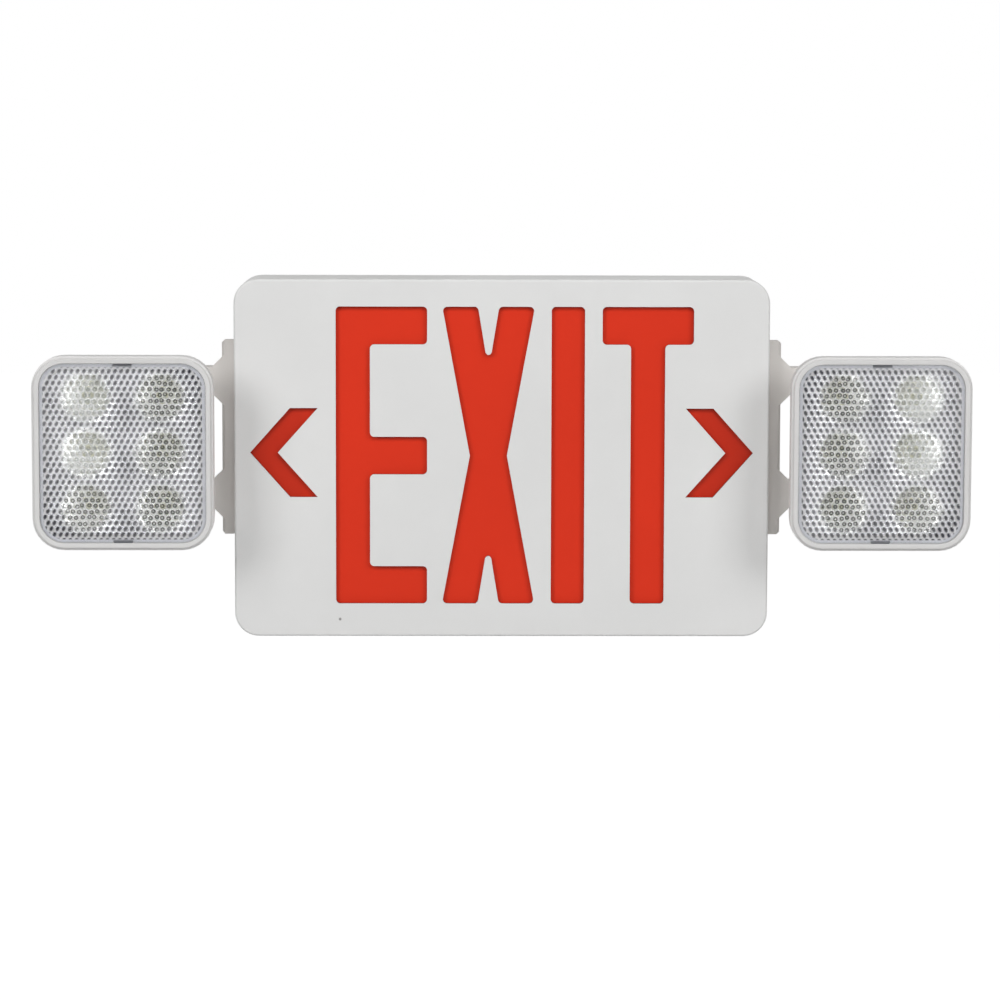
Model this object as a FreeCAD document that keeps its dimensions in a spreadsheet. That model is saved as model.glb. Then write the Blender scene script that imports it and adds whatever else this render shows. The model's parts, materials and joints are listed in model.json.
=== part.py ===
import FreeCAD, Part

import math
import os
import re

import Sketcher

# Emergency exit light with a cut-out legend, a battery pack and two lamp heads that swivel on yokes.
# Millimetres. +X is right, +Z is up, and the face looks along -Y. The wall is the plane y = 0, and
# the origin is the centre of the back plate's rear face. A "depth" is a distance forward from the wall.

SIZES = {
    # Housing and cover
    "body_width": 298,
    "body_height": 200,
    "body_depth": 46,
    "corner_radius": 13.5,
    "side_wall": 2.4,
    "face_thickness": 2.5,
    "face_edge": 1.4,
    "ledge_width": 3.0,
    "ledge_thickness": 2.0,
    "fit_gap": 0.25,
    "tab_width": 12,
    "tab_thickness": 1.6,
    "tab_hook": 0.8,
    "tab_hook_gap": 0.2,
    "tab_hook_slope": 2.4,
    "tab_pitch": 92,
    # Legend: four block letters and a chevron at each side
    "legend_margin_top": 15.2,
    "legend_margin_bottom": 18.6,
    "legend_margin_left": 56.6,
    "legend_margin_right": 42.3,
    "letter_gap": 9.8,
    "letter_stem": 19,
    "letter_bar": 21,
    "letter_corner": 2.4,
    "cross_letter": 49.6,
    "cross_waist": 20.6,
    "cross_notch": 55.6,
    "narrow_letter": 18.5,
    "chevron_margin": 8.9,
    "chevron_rise": 24.9,
    "chevron_reach": 22.2,
    "chevron_stroke": 15.4,
    # Light box behind the legend
    "diffuser_thickness": 1.5,
    "tray_depth": 24,
    "tray_plate": 1.5,
    "tray_side_gap": 6.8,
    "tray_rim_gap": 1.1,
    "tray_rim_depth": 14,
    "tray_rim_wall": 1.5,
    "tray_screw_inset": 22,
    "boss_radius": 4,
    "boss_sink": 0.48,
    "tray_lead_hole": 3.6,
    "strip_margin": 19,
    "strip_width": 10,
    "strip_board": 1.2,
    "strip_height": 43,
    "led_size": 3.5,
    "led_rise": 1.6,
    "led_lens": 1.4,
    "leds_per_strip": 9,
    # Back plate and its holes
    "back_thickness": 2.5,
    "back_rim_height": 5.5,
    "back_rim_wall": 1.8,
    "wire_entry_radius": 11.1,
    "box_screw_spacing": 88.9,
    "box_screw_radius": 2.3,
    "wall_screw_pitch_across": 230,
    "wall_screw_pitch_up": 150,
    "wall_screw_radius": 2.5,
    # Main board
    "board_left": -132,
    "board_length": 78,
    "board_height": 68,
    "board_thickness": 1.6,
    "standoff_height": 5,
    "standoff_radius": 3.2,
    "standoff_inset": 5,
    "core_length": 34,
    "core_height": 28,
    "core_rise": 11.5,
    "coil_overhang": 3,
    "coil_step": 1,
    "transformer_across": 28,
    "transformer_up": 6,
    "capacitor_radius": 5,
    "capacitor_rise": 10.5,
    "capacitor_across": 56,
    "capacitor_low": 21,
    "capacitor_pitch": 12,
    "relay_length": 19,
    "relay_width": 10,
    "relay_rise": 10,
    "relay_across": 20,
    "relay_low": 21,
    "terminal_length": 20,
    "terminal_width": 9,
    "terminal_rise": 9,
    "plug_length": 7,
    "plug_width": 6,
    "plug_rise": 6.5,
    "plug_margin": 1,
    # Battery
    "cell_radius": 7.25,
    "pack_length": 50,
    "pack_left": 58,
    "pack_seat": 0.2,
    "sleeve_half": 6.5,
    "cradle_rib": 1.5,
    "cradle_height": 7,
    "strap_width": 12,
    "strap_sheet": 1.0,
    "strap_foot": 9,
    # Test button, test board and indicator
    "button_across": 40,
    "button_depth": 15,
    "button_radius": 4,
    "button_travel": 1.5,
    "button_proud": 1.8,
    "button_flange": 5.2,
    "button_flange_rise": 1.4,
    "plunger_radius": 1.5,
    "button_clearance": 0.06,
    "indicator_across": 55,
    "indicator_radius": 2.5,
    "indicator_collar": 3.1,
    "indicator_collar_rise": 1.2,
    "test_board_rise": 10,
    "test_board_length": 42,
    "test_board_width": 12,
    "switch_size": 7,
    "switch_rise": 4,
    "switch_cap": 0.5,
    "plunger_reach": 0.75,
    # Screws and leads
    "screw_radius": 1.5,
    "screw_head_radius": 2.9,
    "screw_head_rise": 2,
    "screw_length": 6,
    "lead_radius": 1.2,
    "lead_exit": 14,
    "lead_drop": 12,
    "lead_swing": 8,
    "lead_rise": 17,
    "lead_crest": 6,
    # Yoke
    "yoke_centre": 11,
    "swivel_depth": 24,
    "swivel_radius": 8,
    "swivel_bore": 4.2,
    "swivel_clearance": 0.06,
    "swivel_gap": 0.3,
    "yoke_thickness": 7,
    "yoke_half_depth": 12,
    "yoke_height": 109,
    "yoke_end": 7,
    "yoke_flat": 44,
    "yoke_bevel": 1.5,
    "arm_spacing": 63.8,
    "arm_height": 14.8,
    "arm_flare": 5.6,
    "pivot_depth": 29,
    "pivot_eye": 7,
    "pivot_radius": 2,
    "pivot_clearance": 0.06,
    "pivot_gap": 1.1,
    "pivot_head_radius": 4.2,
    "washer_thickness": 0.8,
    "washer_radius": 6,
    "nut_across_corners": 26,
    "nut_thickness": 5,
    "swivel_washer_radius": 12,
    "swivel_washer_thickness": 1,
    "swivel_end": 1.5,
    # Lamp head
    "head_across": 207.5,
    "head_centre": 6.4,
    "head_width": 99,
    "head_height": 106.5,
    "head_corner": 17.5,
    "head_front": 84,
    "head_back": 48,
    "bezel_depth": 12,
    "bezel_width": 4,
    "bezel_edge": 2.2,
    "bezel_wall": 2,
    "lens_recess": 1,
    "lens_thickness": 2.5,
    "lens_ledge": 4,
    "lens_ledge_thickness": 1.5,
    "lens_gap": 0.3,
    "lens_tab_width": 10,
    "lens_tab_reach": 1.2,
    "reflector_plate": 1.6,
    "cup_radius": 13,
    "cup_wall": 1,
    "cup_depth": 14,
    "cup_pitch_across": 40.7,
    "cup_pitch_up": 30.4,
    "cup_opening": 4,
    "lamp_seat": 0.3,
    "lamp_board_width": 62,
    "lamp_board_height": 82,
    "shell_taper": 19,
    "shell_wall": 2,
    "lead_entry_inset": 20.5,
}

# Places worked out from the sizes
HOUSING_FRONT = "(body_depth - face_thickness)"
LEDGE_BACK = f"({HOUSING_FRONT} - ledge_thickness)"
INNER_WIDTH = "(body_width - 2*side_wall)"
INNER_HEIGHT = "(body_height - 2*side_wall)"
INNER_CORNER = "(corner_radius - side_wall)"
WINDOW_WIDTH = f"({INNER_WIDTH} - 2*ledge_width)"
WINDOW_HEIGHT = f"({INNER_HEIGHT} - 2*ledge_width)"
WINDOW_CORNER = f"({INNER_CORNER} - ledge_width)"
TAB_OUTER = f"({WINDOW_HEIGHT}/2 - fit_gap)"
LEGEND_LOW = "(legend_margin_bottom - body_height/2)"
LEGEND_HIGH = "(body_height/2 - legend_margin_top)"
LEGEND_CENTRE = "((legend_margin_bottom - legend_margin_top)/2)"
LEGEND_LEFT = "(legend_margin_left - body_width/2)"
LEGEND_WIDTH = "(body_width - legend_margin_left - legend_margin_right)"
WIDE_LETTER = f"(({LEGEND_WIDTH} - 3*letter_gap - cross_letter - narrow_letter)/2)"
CHEVRON_TIP = "(body_width/2 - chevron_margin)"
BOSS_HEIGHT = f"({INNER_HEIGHT}/2 - boss_radius + boss_sink)"
BOARD_BACK = "(back_thickness + standoff_height)"
BOARD_FRONT = f"({BOARD_BACK} + board_thickness)"
PACK_MIDDLE = "(back_thickness + pack_seat + cell_radius)"
FLOOR_INSIDE = "(side_wall - body_height/2)"
TEST_BOARD_LOW = f"({FLOOR_INSIDE} + test_board_rise)"
YOKE_INSIDE = "(body_width/2 + swivel_gap)"
YOKE_OUTSIDE = f"({YOKE_INSIDE} + yoke_thickness)"
WASHER_OUTSIDE = "(body_width/2 - side_wall - swivel_gap)"
NUT_OUTSIDE = f"({WASHER_OUTSIDE} - swivel_washer_thickness)"
NUT_INSIDE = f"({NUT_OUTSIDE} - nut_thickness)"
TRAY_WIDTH = f"(2*({NUT_INSIDE} - swivel_end - tray_side_gap))"
TRAY_RIM_HEIGHT = f"(2*({BOSS_HEIGHT} - boss_radius - tray_rim_gap))"
TRAY_SCREW_PITCH = f"({TRAY_WIDTH} - 2*tray_screw_inset)"
STRIP_LENGTH = f"({TRAY_WIDTH} - 2*strip_margin)"
ARM_INSIDE = "(arm_spacing/2 - arm_height/2)"
ARM_OUTSIDE = "(arm_spacing/2 + arm_height/2)"
LUG_HALF = f"({ARM_INSIDE} - pivot_gap)"
BEZEL_BACK = "(head_front - bezel_depth)"
LENS_BACK = "(head_front - lens_recess - lens_thickness)"
LENS_LEDGE_BACK = f"({LENS_BACK} - lens_ledge_thickness)"
LENS_WIDTH = "(head_width - 2*bezel_width - 2*lens_gap)"
LENS_HEIGHT = "(head_height - 2*bezel_width - 2*lens_gap)"
LENS_CORNER = "(head_corner - bezel_width - lens_gap)"
CAVITY_WIDTH = "(head_width - 2*bezel_wall)"
CAVITY_HEIGHT = "(head_height - 2*bezel_wall)"
CAVITY_CORNER = "(head_corner - bezel_wall)"
REFLECTOR_FRONT = f"({LENS_LEDGE_BACK} - fit_gap)"
REFLECTOR_BACK = f"({REFLECTOR_FRONT} - reflector_plate)"
CUP_BACK = f"({REFLECTOR_FRONT} - cup_depth)"
SHELL_DEPTH = f"({BEZEL_BACK} - head_back)"
ROOM_TAPER = f"atan(({SHELL_DEPTH}*tan(shell_taper) - bezel_wall)/({SHELL_DEPTH} - shell_wall))"

doc = FreeCAD.newDocument("exit_light")
sheet = doc.addObject("Spreadsheet::Sheet", "Sizes")
for row, (size_name, size_value) in enumerate(SIZES.items(), start=1):
    sheet.set(f"A{row}", size_name)
    sheet.set(f"B{row}", str(size_value))
    sheet.setAlias(f"B{row}", size_name)
doc.recompute()


def bound(text):
    """Point every size named in an expression at its cell in the sheet."""
    def cell(match):
        word = match.group(0)
        return f"Sizes.{word}" if word in SIZES else word
    return re.sub(r"[a-z][a-z_]*", cell, str(text))


def value(name):
    """Read a size from the sheet."""
    return float(sheet.get(name))


# ---------------------------------------------------------------- sketches

def new_sketch(body, name, role, offset="0"):
    """Start a sketch on one of the body's own origin planes, moved along its normal."""
    plane = next(item for item in body.Origin.OriginFeatures if item.Role == role)
    sketch = body.newObject("Sketcher::SketchObject", name)
    sketch.AttachmentSupport = (plane, [""])
    sketch.MapMode = "FlatFace"
    sketch.setExpression("AttachmentOffset.Base.z", bound(offset))
    return sketch


def pin_point(sketch, geometry, position, across, up):
    """Hold one point of a sketch at two bound coordinates."""
    for kind, text in (("DistanceX", across), ("DistanceY", up)):
        index = sketch.addConstraint(Sketcher.Constraint(kind, -1, 1, geometry, position, 1.0))
        sketch.setExpression(f"Constraints[{index}]", bound(text))


def add_outline(sketch, points):
    """Add a closed outline with straight sides."""
    first = sketch.GeometryCount
    count = len(points)
    turn = 2 * math.pi / count
    start = [FreeCAD.Vector(10 * math.cos(turn * i), 10 * math.sin(turn * i), 0) for i in range(count)]
    sketch.addGeometry([Part.LineSegment(start[i], start[(i + 1) % count]) for i in range(count)], False)
    for i in range(count):
        after = first + (i + 1) % count
        sketch.addConstraint(Sketcher.Constraint("Coincident", first + i, 2, after, 1))
    for i, (across, up) in enumerate(points):
        pin_point(sketch, first + i, 1, across, up)


def add_rectangle(sketch, width, height, across, up):
    """Add a square-cornered rectangle about a centre."""
    left, right = f"({across}) - ({width})/2", f"({across}) + ({width})/2"
    low, high = f"({up}) - ({height})/2", f"({up}) + ({height})/2"
    add_outline(sketch, [(left, low), (right, low), (right, high), (left, high)])


def add_circle(sketch, across, up, radius):
    """Add a circle."""
    index = sketch.addGeometry(Part.Circle(FreeCAD.Vector(1, 1, 0), FreeCAD.Vector(0, 0, 1), 1), False)
    pin_point(sketch, index, 3, across, up)
    size = sketch.addConstraint(Sketcher.Constraint("Radius", index, 1.0))
    sketch.setExpression(f"Constraints[{size}]", bound(radius))


def add_rounded(sketch, width, height, radius, across="0", up="0"):
    """Add a rectangle with rounded corners about a centre."""
    first = sketch.GeometryCount
    half_w, half_h, rad = 50.0, 30.0, 10.0
    corners = [(1, 1, 0.0), (1, -1, -90.0), (-1, -1, 180.0), (-1, 1, 90.0)]
    sides = [((-1, 1), (1, 1)), ((1, 1), (1, -1)), ((1, -1), (-1, -1)), ((-1, -1), (-1, 1))]
    for (ax, ay), (bx, by) in sides:
        trim_x = rad if ay == by else 0.0
        trim_y = rad if ax == bx else 0.0
        a = FreeCAD.Vector(ax * (half_w - trim_x), ay * (half_h - trim_y), 0)
        b = FreeCAD.Vector(bx * (half_w - trim_x), by * (half_h - trim_y), 0)
        sketch.addGeometry(Part.LineSegment(a, b), False)
    for sx, sy, begin in corners:
        centre = FreeCAD.Vector(sx * (half_w - rad), sy * (half_h - rad), 0)
        circle = Part.Circle(centre, FreeCAD.Vector(0, 0, 1), rad)
        arc = Part.ArcOfCircle(circle, math.radians(begin), math.radians(begin + 90))
        sketch.addGeometry(arc, False)
    make = Sketcher.Constraint
    for i in range(4):
        arc = first + 4 + i
        sketch.addConstraint(make("Tangent", first + i, 2, arc, 2))
        sketch.addConstraint(make("Tangent", arc, 1, first + (i + 1) % 4, 1))
        sketch.addConstraint(make("Horizontal" if i % 2 == 0 else "Vertical", first + i))
        if i:
            sketch.addConstraint(make("Equal", first + 4, arc))
    sizes = (("Radius", (first + 4,), rad, radius),
             ("DistanceX", (first + 3, 1, first + 1, 1), 2 * half_w, width),
             ("DistanceY", (first + 2, 1, first, 1), 2 * half_h, height),
             ("DistanceX", (-1, 1, first + 1, 1), half_w, f"({across}) + ({width})/2"),
             ("DistanceY", (-1, 1, first, 1), half_h, f"({up}) + ({height})/2"))
    for kind, where, start, text in sizes:
        index = sketch.addConstraint(make(kind, *where, start))
        sketch.setExpression(f"Constraints[{index}]", bound(text))


# ---------------------------------------------------------------- features

def feature(body, kind, name, sketch, length, reverse=False):
    """Pad or pocket a sketch by a bound length."""
    made = body.newObject(f"PartDesign::{kind}", name)
    made.Profile = sketch
    made.Reversed = reverse
    made.setExpression("Length", bound(length))
    return made


def pad(body, name, sketch, length):
    """Add material along the sketch's normal."""
    return feature(body, "Pad", name, sketch, length)


def pocket(body, name, sketch, length):
    """Take material away along the sketch's normal."""
    return feature(body, "Pocket", name, sketch, length, reverse=True)


def dress(body, kind, name, size, chosen):
    """Fillet or chamfer the edges that the chosen test picks from the body's present tip."""
    doc.recompute()
    base = body.Tip
    names = [f"Edge{i}" for i, edge in enumerate(base.Shape.Edges, start=1) if chosen(edge)]
    made = body.newObject(f"PartDesign::{kind}", name)
    made.Base = (base, names)
    made.setExpression("Radius" if kind == "Fillet" else "Size", bound(size))
    return made


def all_at(edge, axis, place):
    """Say whether an edge lies in the plane where one coordinate has a given value."""
    return all(abs(getattr(vertex.Point, axis) - place) < 1e-4 for vertex in edge.Vertexes)


def along(edge, axis):
    """Say whether an edge is straight and runs along one axis."""
    ends = [vertex.Point for vertex in edge.Vertexes]
    if len(ends) != 2 or not isinstance(edge.Curve, Part.Line):
        return False
    run = ends[1] - ends[0]
    return abs(abs(getattr(run, axis)) - run.Length) < 1e-6


def new_body(name):
    """Start a body whose label is the sub-part's name."""
    body = doc.addObject("PartDesign::Body", name)
    body.Label = name
    return body


def slab(name, width, height, radius, depth, thickness):
    """Make a body that starts as a flat plate with rounded corners, facing the front."""
    body = new_body(name)
    outline = new_sketch(body, f"{name}_outline", "XZ_Plane", depth)
    add_rounded(outline, width, height, radius)
    pad(body, f"{name}_plate", outline, thickness)
    return body


def block(name, low, size):
    """Make a box from its lowest corner and its size along X, Y and Z."""
    box = doc.addObject("Part::Box", name)
    for axis, text in zip("xyz", low):
        box.setExpression(f"Placement.Base.{axis}", bound(text))
    for side, text in zip(("Length", "Width", "Height"), size):
        box.setExpression(side, bound(text))
    return box


FASTENER_SIDES = 8
TURNS = {"x": ((0, 1, 0), 90), "y": ((1, 0, 0), 90), "z": ((0, 0, 1), 0)}


def rod(name, kind, base, axis, sizes):
    """Make a cylinder, cone, sphere or prism on a base point; axis y points to the front."""
    made = doc.addObject(f"Part::{kind}", name)
    direction, angle = TURNS[axis]
    made.Placement = FreeCAD.Placement(FreeCAD.Vector(), FreeCAD.Rotation(FreeCAD.Vector(*direction), angle))
    for place, text in zip("xyz", base):
        made.setExpression(f"Placement.Base.{place}", bound(text))
    for size, text in sizes.items():
        made.setExpression(size, bound(text))
    return made


def cylinder(name, base, axis, radius, height):
    """Make a cylinder."""
    return rod(name, "Cylinder", base, axis, {"Radius": radius, "Height": height})


def fused(name, pieces):
    """Fuse pieces into one sub-part."""
    made = doc.addObject("Part::MultiFuse", name)
    made.Shapes = pieces
    made.Label = name
    return made


def grouped(name, pieces):
    """Hold alike separate solids in one sub-part."""
    made = doc.addObject("Part::Compound", name)
    made.Links = pieces
    made.Label = name
    return made


def cut(name, base, tool):
    """Cut one shape from another."""
    made = doc.addObject("Part::Cut", name)
    made.Base = base
    made.Tool = tool
    made.Label = name
    return made


def stud(name, base, axis, radius, height):
    """Make a many-sided rod for a small fastener."""
    made = rod(name, "Prism", base, axis, {"Circumradius": radius, "Height": height})
    made.Polygon = FASTENER_SIDES
    return made


def screw(name, seat, axis, shank_radius, head_radius, head_rise, length, forward=True, turned=stud):
    """Make a pan-head screw whose head stands on the seat point; forward heads point along the axis."""
    index = "xyz".index(axis)
    sign = "-" if axis == "y" else "+"
    head_base = list(seat)
    shank_base = list(seat)
    if forward:
        shank_base[index] = f"({seat[index]}) {'+' if sign == '-' else '-'} ({length})"
    else:
        head_base[index] = f"({seat[index]}) {'+' if sign == '-' else '-'} ({head_rise})"
    head = turned(f"{name}_head", head_base, axis, head_radius, head_rise)
    shank = turned(f"{name}_shank", shank_base, axis, shank_radius, length)
    return fused(name, [head, shank])


PARTS = []


def keep(part):
    """Register a finished sub-part for checking and export."""
    PARTS.append(part)
    return part


# ---------------------------------------------------------------- housing and cover

def make_housing():
    """White box open at the back, with a narrow ledge round its front window."""
    depth = f"{HOUSING_FRONT} - back_thickness"
    body = slab("housing", "body_width", "body_height", "corner_radius", "back_thickness", depth)
    room = new_sketch(body, "housing_room_outline", "XZ_Plane", "back_thickness")
    add_rounded(room, INNER_WIDTH, INNER_HEIGHT, INNER_CORNER)
    pocket(body, "housing_room", room, f"{LEDGE_BACK} - back_thickness")
    window = new_sketch(body, "housing_window_outline", "XZ_Plane", LEDGE_BACK)
    add_rounded(window, WINDOW_WIDTH, WINDOW_HEIGHT, WINDOW_CORNER)
    pocket(body, "housing_window", window, "ledge_thickness")
    bosses = new_sketch(body, "tray_boss_outline", "XZ_Plane", "tray_depth")
    for side in ("-", ""):
        for edge in ("-", ""):
            add_circle(bosses, f"{side}{TRAY_SCREW_PITCH}/2", f"{edge}{BOSS_HEIGHT}", "boss_radius")
    pad(body, "tray_bosses", bosses, f"{LEDGE_BACK} - tray_depth")
    swivels = new_sketch(body, "swivel_hole_outline", "YZ_Plane", "-body_width/2")
    add_circle(swivels, "-swivel_depth", "yoke_centre", "swivel_radius + swivel_clearance")
    pocket(body, "swivel_holes", swivels, "body_width")
    posts = new_sketch(body, "test_post_outline", "XY_Plane", "side_wall/2 - body_height/2")
    middle = "(button_across + indicator_across)/2"
    for side in ("-", "+"):
        add_circle(posts, f"{middle} {side} (test_board_length/2 - standoff_radius)", "-button_depth",
                   "standoff_radius")
    pad(body, "test_posts", posts, "side_wall/2 + test_board_rise")
    controls = new_sketch(body, "control_hole_outline", "XY_Plane", "-body_height/2")
    add_circle(controls, "button_across", "-button_depth", "button_radius + button_clearance")
    add_circle(controls, "indicator_across", "-button_depth", "indicator_radius + button_clearance")
    pocket(body, "control_holes", controls, "side_wall")
    return body


def letter_outlines():
    """Give each opening of the legend as a name and its corner points."""
    left, low, high = LEGEND_LEFT, LEGEND_LOW, LEGEND_HIGH
    centre, bar, stem = LEGEND_CENTRE, "letter_bar", "letter_stem"
    inner, outer = f"({left} + {stem})", f"({left} + {WIDE_LETTER})"
    letter_e = [(left, low), (outer, low), (outer, f"{low} + {bar}"), (inner, f"{low} + {bar}"),
                (inner, f"{centre} - {bar}/2"), (outer, f"{centre} - {bar}/2"),
                (outer, f"{centre} + {bar}/2"), (inner, f"{centre} + {bar}/2"),
                (inner, f"{high} - {bar}"), (outer, f"{high} - {bar}"), (outer, high), (left, high)]
    left = f"({outer} + letter_gap)"
    outer = f"({left} + cross_letter)"
    middle = f"({left} + cross_letter/2)"
    waist = "cross_waist/2"
    letter_x = [(left, low), (f"{left} + {stem}", low), (middle, f"{centre} - cross_notch"),
                (f"{outer} - {stem}", low), (outer, low), (f"{middle} + {waist}", centre),
                (outer, high), (f"{outer} - {stem}", high), (middle, f"{centre} + cross_notch"),
                (f"{left} + {stem}", high), (left, high), (f"{middle} - {waist}", centre)]
    left = f"({outer} + letter_gap)"
    outer = f"({left} + narrow_letter)"
    letter_i = [(left, low), (outer, low), (outer, high), (left, high)]
    left = f"({outer} + letter_gap)"
    outer = f"({left} + {WIDE_LETTER})"
    middle = f"({left} + {WIDE_LETTER}/2)"
    letter_t = [(f"{middle} - {stem}/2", low), (f"{middle} + {stem}/2", low),
                (f"{middle} + {stem}/2", f"{high} - {bar}"), (outer, f"{high} - {bar}"), (outer, high),
                (left, high), (left, f"{high} - {bar}"), (f"{middle} - {stem}/2", f"{high} - {bar}")]
    return {"letter_e": letter_e, "letter_x": letter_x, "letter_i": letter_i, "letter_t": letter_t}


def chevron_outline(side):
    """Corner points of the arrow head at one side."""
    tip = CHEVRON_TIP
    shoulder = f"{tip} - chevron_reach"
    tail = f"{shoulder} - chevron_stroke"
    elbow = f"{tip} - chevron_stroke"
    rise = [("0", tip), ("+ chevron_rise", shoulder), ("+ chevron_rise", tail), ("+ 0", elbow),
            ("- chevron_rise", tail), ("- chevron_rise", shoulder)]
    return [(f"{side}({across})", LEGEND_CENTRE if up == "0" else f"{LEGEND_CENTRE} {up}")
            for up, across in rise]


def make_faceplate():
    """Snap-on cover with the legend and the chevrons cut right through."""
    body = slab("faceplate", "body_width", "body_height", "corner_radius", HOUSING_FRONT, "face_thickness")
    front = -value("body_depth")
    dress(body, "Fillet", "face_edge_round", "face_edge", lambda edge: all_at(edge, "y", front))
    outlines = letter_outlines()
    for name, points in outlines.items():
        opening = new_sketch(body, f"{name}_outline", "XZ_Plane", HOUSING_FRONT)
        add_outline(opening, points)
        pocket(body, name, opening, "face_thickness")
    reach = value("body_width") / 2 - value("legend_margin_right") / 2
    rise = value("body_height") / 2 - value("legend_margin_top") / 2

    def is_letter_corner(edge):
        """Pick the short edges through the plate inside the legend."""
        place = edge.CenterOfMass
        return along(edge, "y") and abs(place.z) < rise and abs(place.x) < reach

    dress(body, "Fillet", "letter_corners", "letter_corner", is_letter_corner)
    for name, side in (("left_chevron", "-"), ("right_chevron", "")):
        opening = new_sketch(body, f"{name}_outline", "XZ_Plane", HOUSING_FRONT)
        add_outline(opening, chevron_outline(side))
        pocket(body, name, opening, "face_thickness")
    for row, edge in enumerate(("", "-")):
        for column, step in enumerate((-1, 0, 1)):
            snap = new_sketch(body, f"snap_tab_{row}{column}_outline", "YZ_Plane",
                              f"{step}*tab_pitch - tab_width/2")
            hook = f"{LEDGE_BACK} - tab_hook_gap"
            add_outline(snap, [
                (f"-{HOUSING_FRONT}", f"{edge}{TAB_OUTER}"),
                (f"-{HOUSING_FRONT}", f"{edge}({TAB_OUTER} - tab_thickness)"),
                (f"-({hook} - tab_hook_slope)", f"{edge}({TAB_OUTER} - tab_thickness)"),
                (f"-({hook} - tab_hook_slope)", f"{edge}{TAB_OUTER}"),
                (f"-({hook})", f"{edge}({TAB_OUTER} + tab_hook)"),
                (f"-({hook})", f"{edge}{TAB_OUTER}")])
            pad(body, f"snap_tab_{row}{column}", snap, "tab_width")
    return body


def make_diffuser():
    """Red panel that lies on the back of the cover."""
    height = f"2*({TAB_OUTER} - tab_thickness - fit_gap)"
    return slab("diffuser", f"{WINDOW_WIDTH} - 2*fit_gap", height, WINDOW_CORNER,
                f"{HOUSING_FRONT} - diffuser_thickness", "diffuser_thickness")


# ---------------------------------------------------------------- light box

def make_light_tray():
    """White tray that carries the LED strips and keeps their light in front."""
    body = slab("light_tray", TRAY_WIDTH, f"{INNER_HEIGHT} - 4*fit_gap", "boss_radius",
                "tray_depth - tray_plate", "tray_plate")
    rim = new_sketch(body, "tray_rim_outline", "XZ_Plane", "tray_depth")
    add_rounded(rim, TRAY_WIDTH, TRAY_RIM_HEIGHT, "boss_radius")
    add_rounded(rim, f"{TRAY_WIDTH} - 2*tray_rim_wall", f"{TRAY_RIM_HEIGHT} - 2*tray_rim_wall",
                "boss_radius - tray_rim_wall")
    pad(body, "tray_rim", rim, "tray_rim_depth")
    holes = new_sketch(body, "tray_hole_outline", "XZ_Plane", "tray_depth - tray_plate")
    for side in ("-", ""):
        for edge in ("-", ""):
            add_circle(holes, f"{side}{TRAY_SCREW_PITCH}/2", f"{edge}{BOSS_HEIGHT}", "screw_radius")
    add_circle(holes, SIGN_LEAD_ACROSS, SIGN_LEAD_LOW, "tray_lead_hole")
    pocket(body, "tray_holes", holes, "tray_plate")
    return body


def make_led_strip(name, edge):
    """Narrow circuit board on the front of the tray."""
    strip = block(name, (f"-{STRIP_LENGTH}/2", "-(tray_depth + strip_board)",
                         f"{edge}strip_height + {LEGEND_CENTRE} - strip_width/2"),
                  (STRIP_LENGTH, "strip_board", "strip_width"))
    strip.Label = name
    return strip


def make_sign_leds():
    """The LED packages of both strips."""
    count = int(value("leds_per_strip"))
    packages = []
    for edge in ("", "-"):
        for i in range(count):
            across = f"({i} - ({count} - 1)/2)*{STRIP_LENGTH}/{count} - led_size/2"
            packages.append(block(f"sign_led_{edge}{i}", (
                across, "-(tray_depth + strip_board + led_rise)",
                f"{edge}strip_height + {LEGEND_CENTRE} - led_size/2"), ("led_size", "led_rise", "led_size")))
    return grouped("sign_leds", packages)


def make_tray_screws():
    """Screws through the tray into the housing's bosses."""
    screws = []
    for i, side in enumerate(("-", "")):
        for j, edge in enumerate(("-", "")):
            seat = (f"{side}{TRAY_SCREW_PITCH}/2", "-(tray_depth - tray_plate)", f"{edge}{BOSS_HEIGHT}")
            screws.append(screw(f"tray_screw_{i}{j}", seat, "y", "screw_radius", "screw_head_radius",
                                "screw_head_rise", "tray_plate", forward=False))
    return grouped("tray_screws", screws)


# ---------------------------------------------------------------- back plate

def board_corners():
    """Centres of the main board's four standoffs."""
    for across in ("board_left + standoff_inset", "board_left + board_length - standoff_inset"):
        for up in ("board_height/2 - standoff_inset", "standoff_inset - board_height/2"):
            yield across, up


def strap_feet():
    """Centres of the battery strap's two screws."""
    for edge in ("-", ""):
        yield "pack_left + pack_length/2", f"{edge}(3*cell_radius + strap_sheet + strap_foot/2)"


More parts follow.
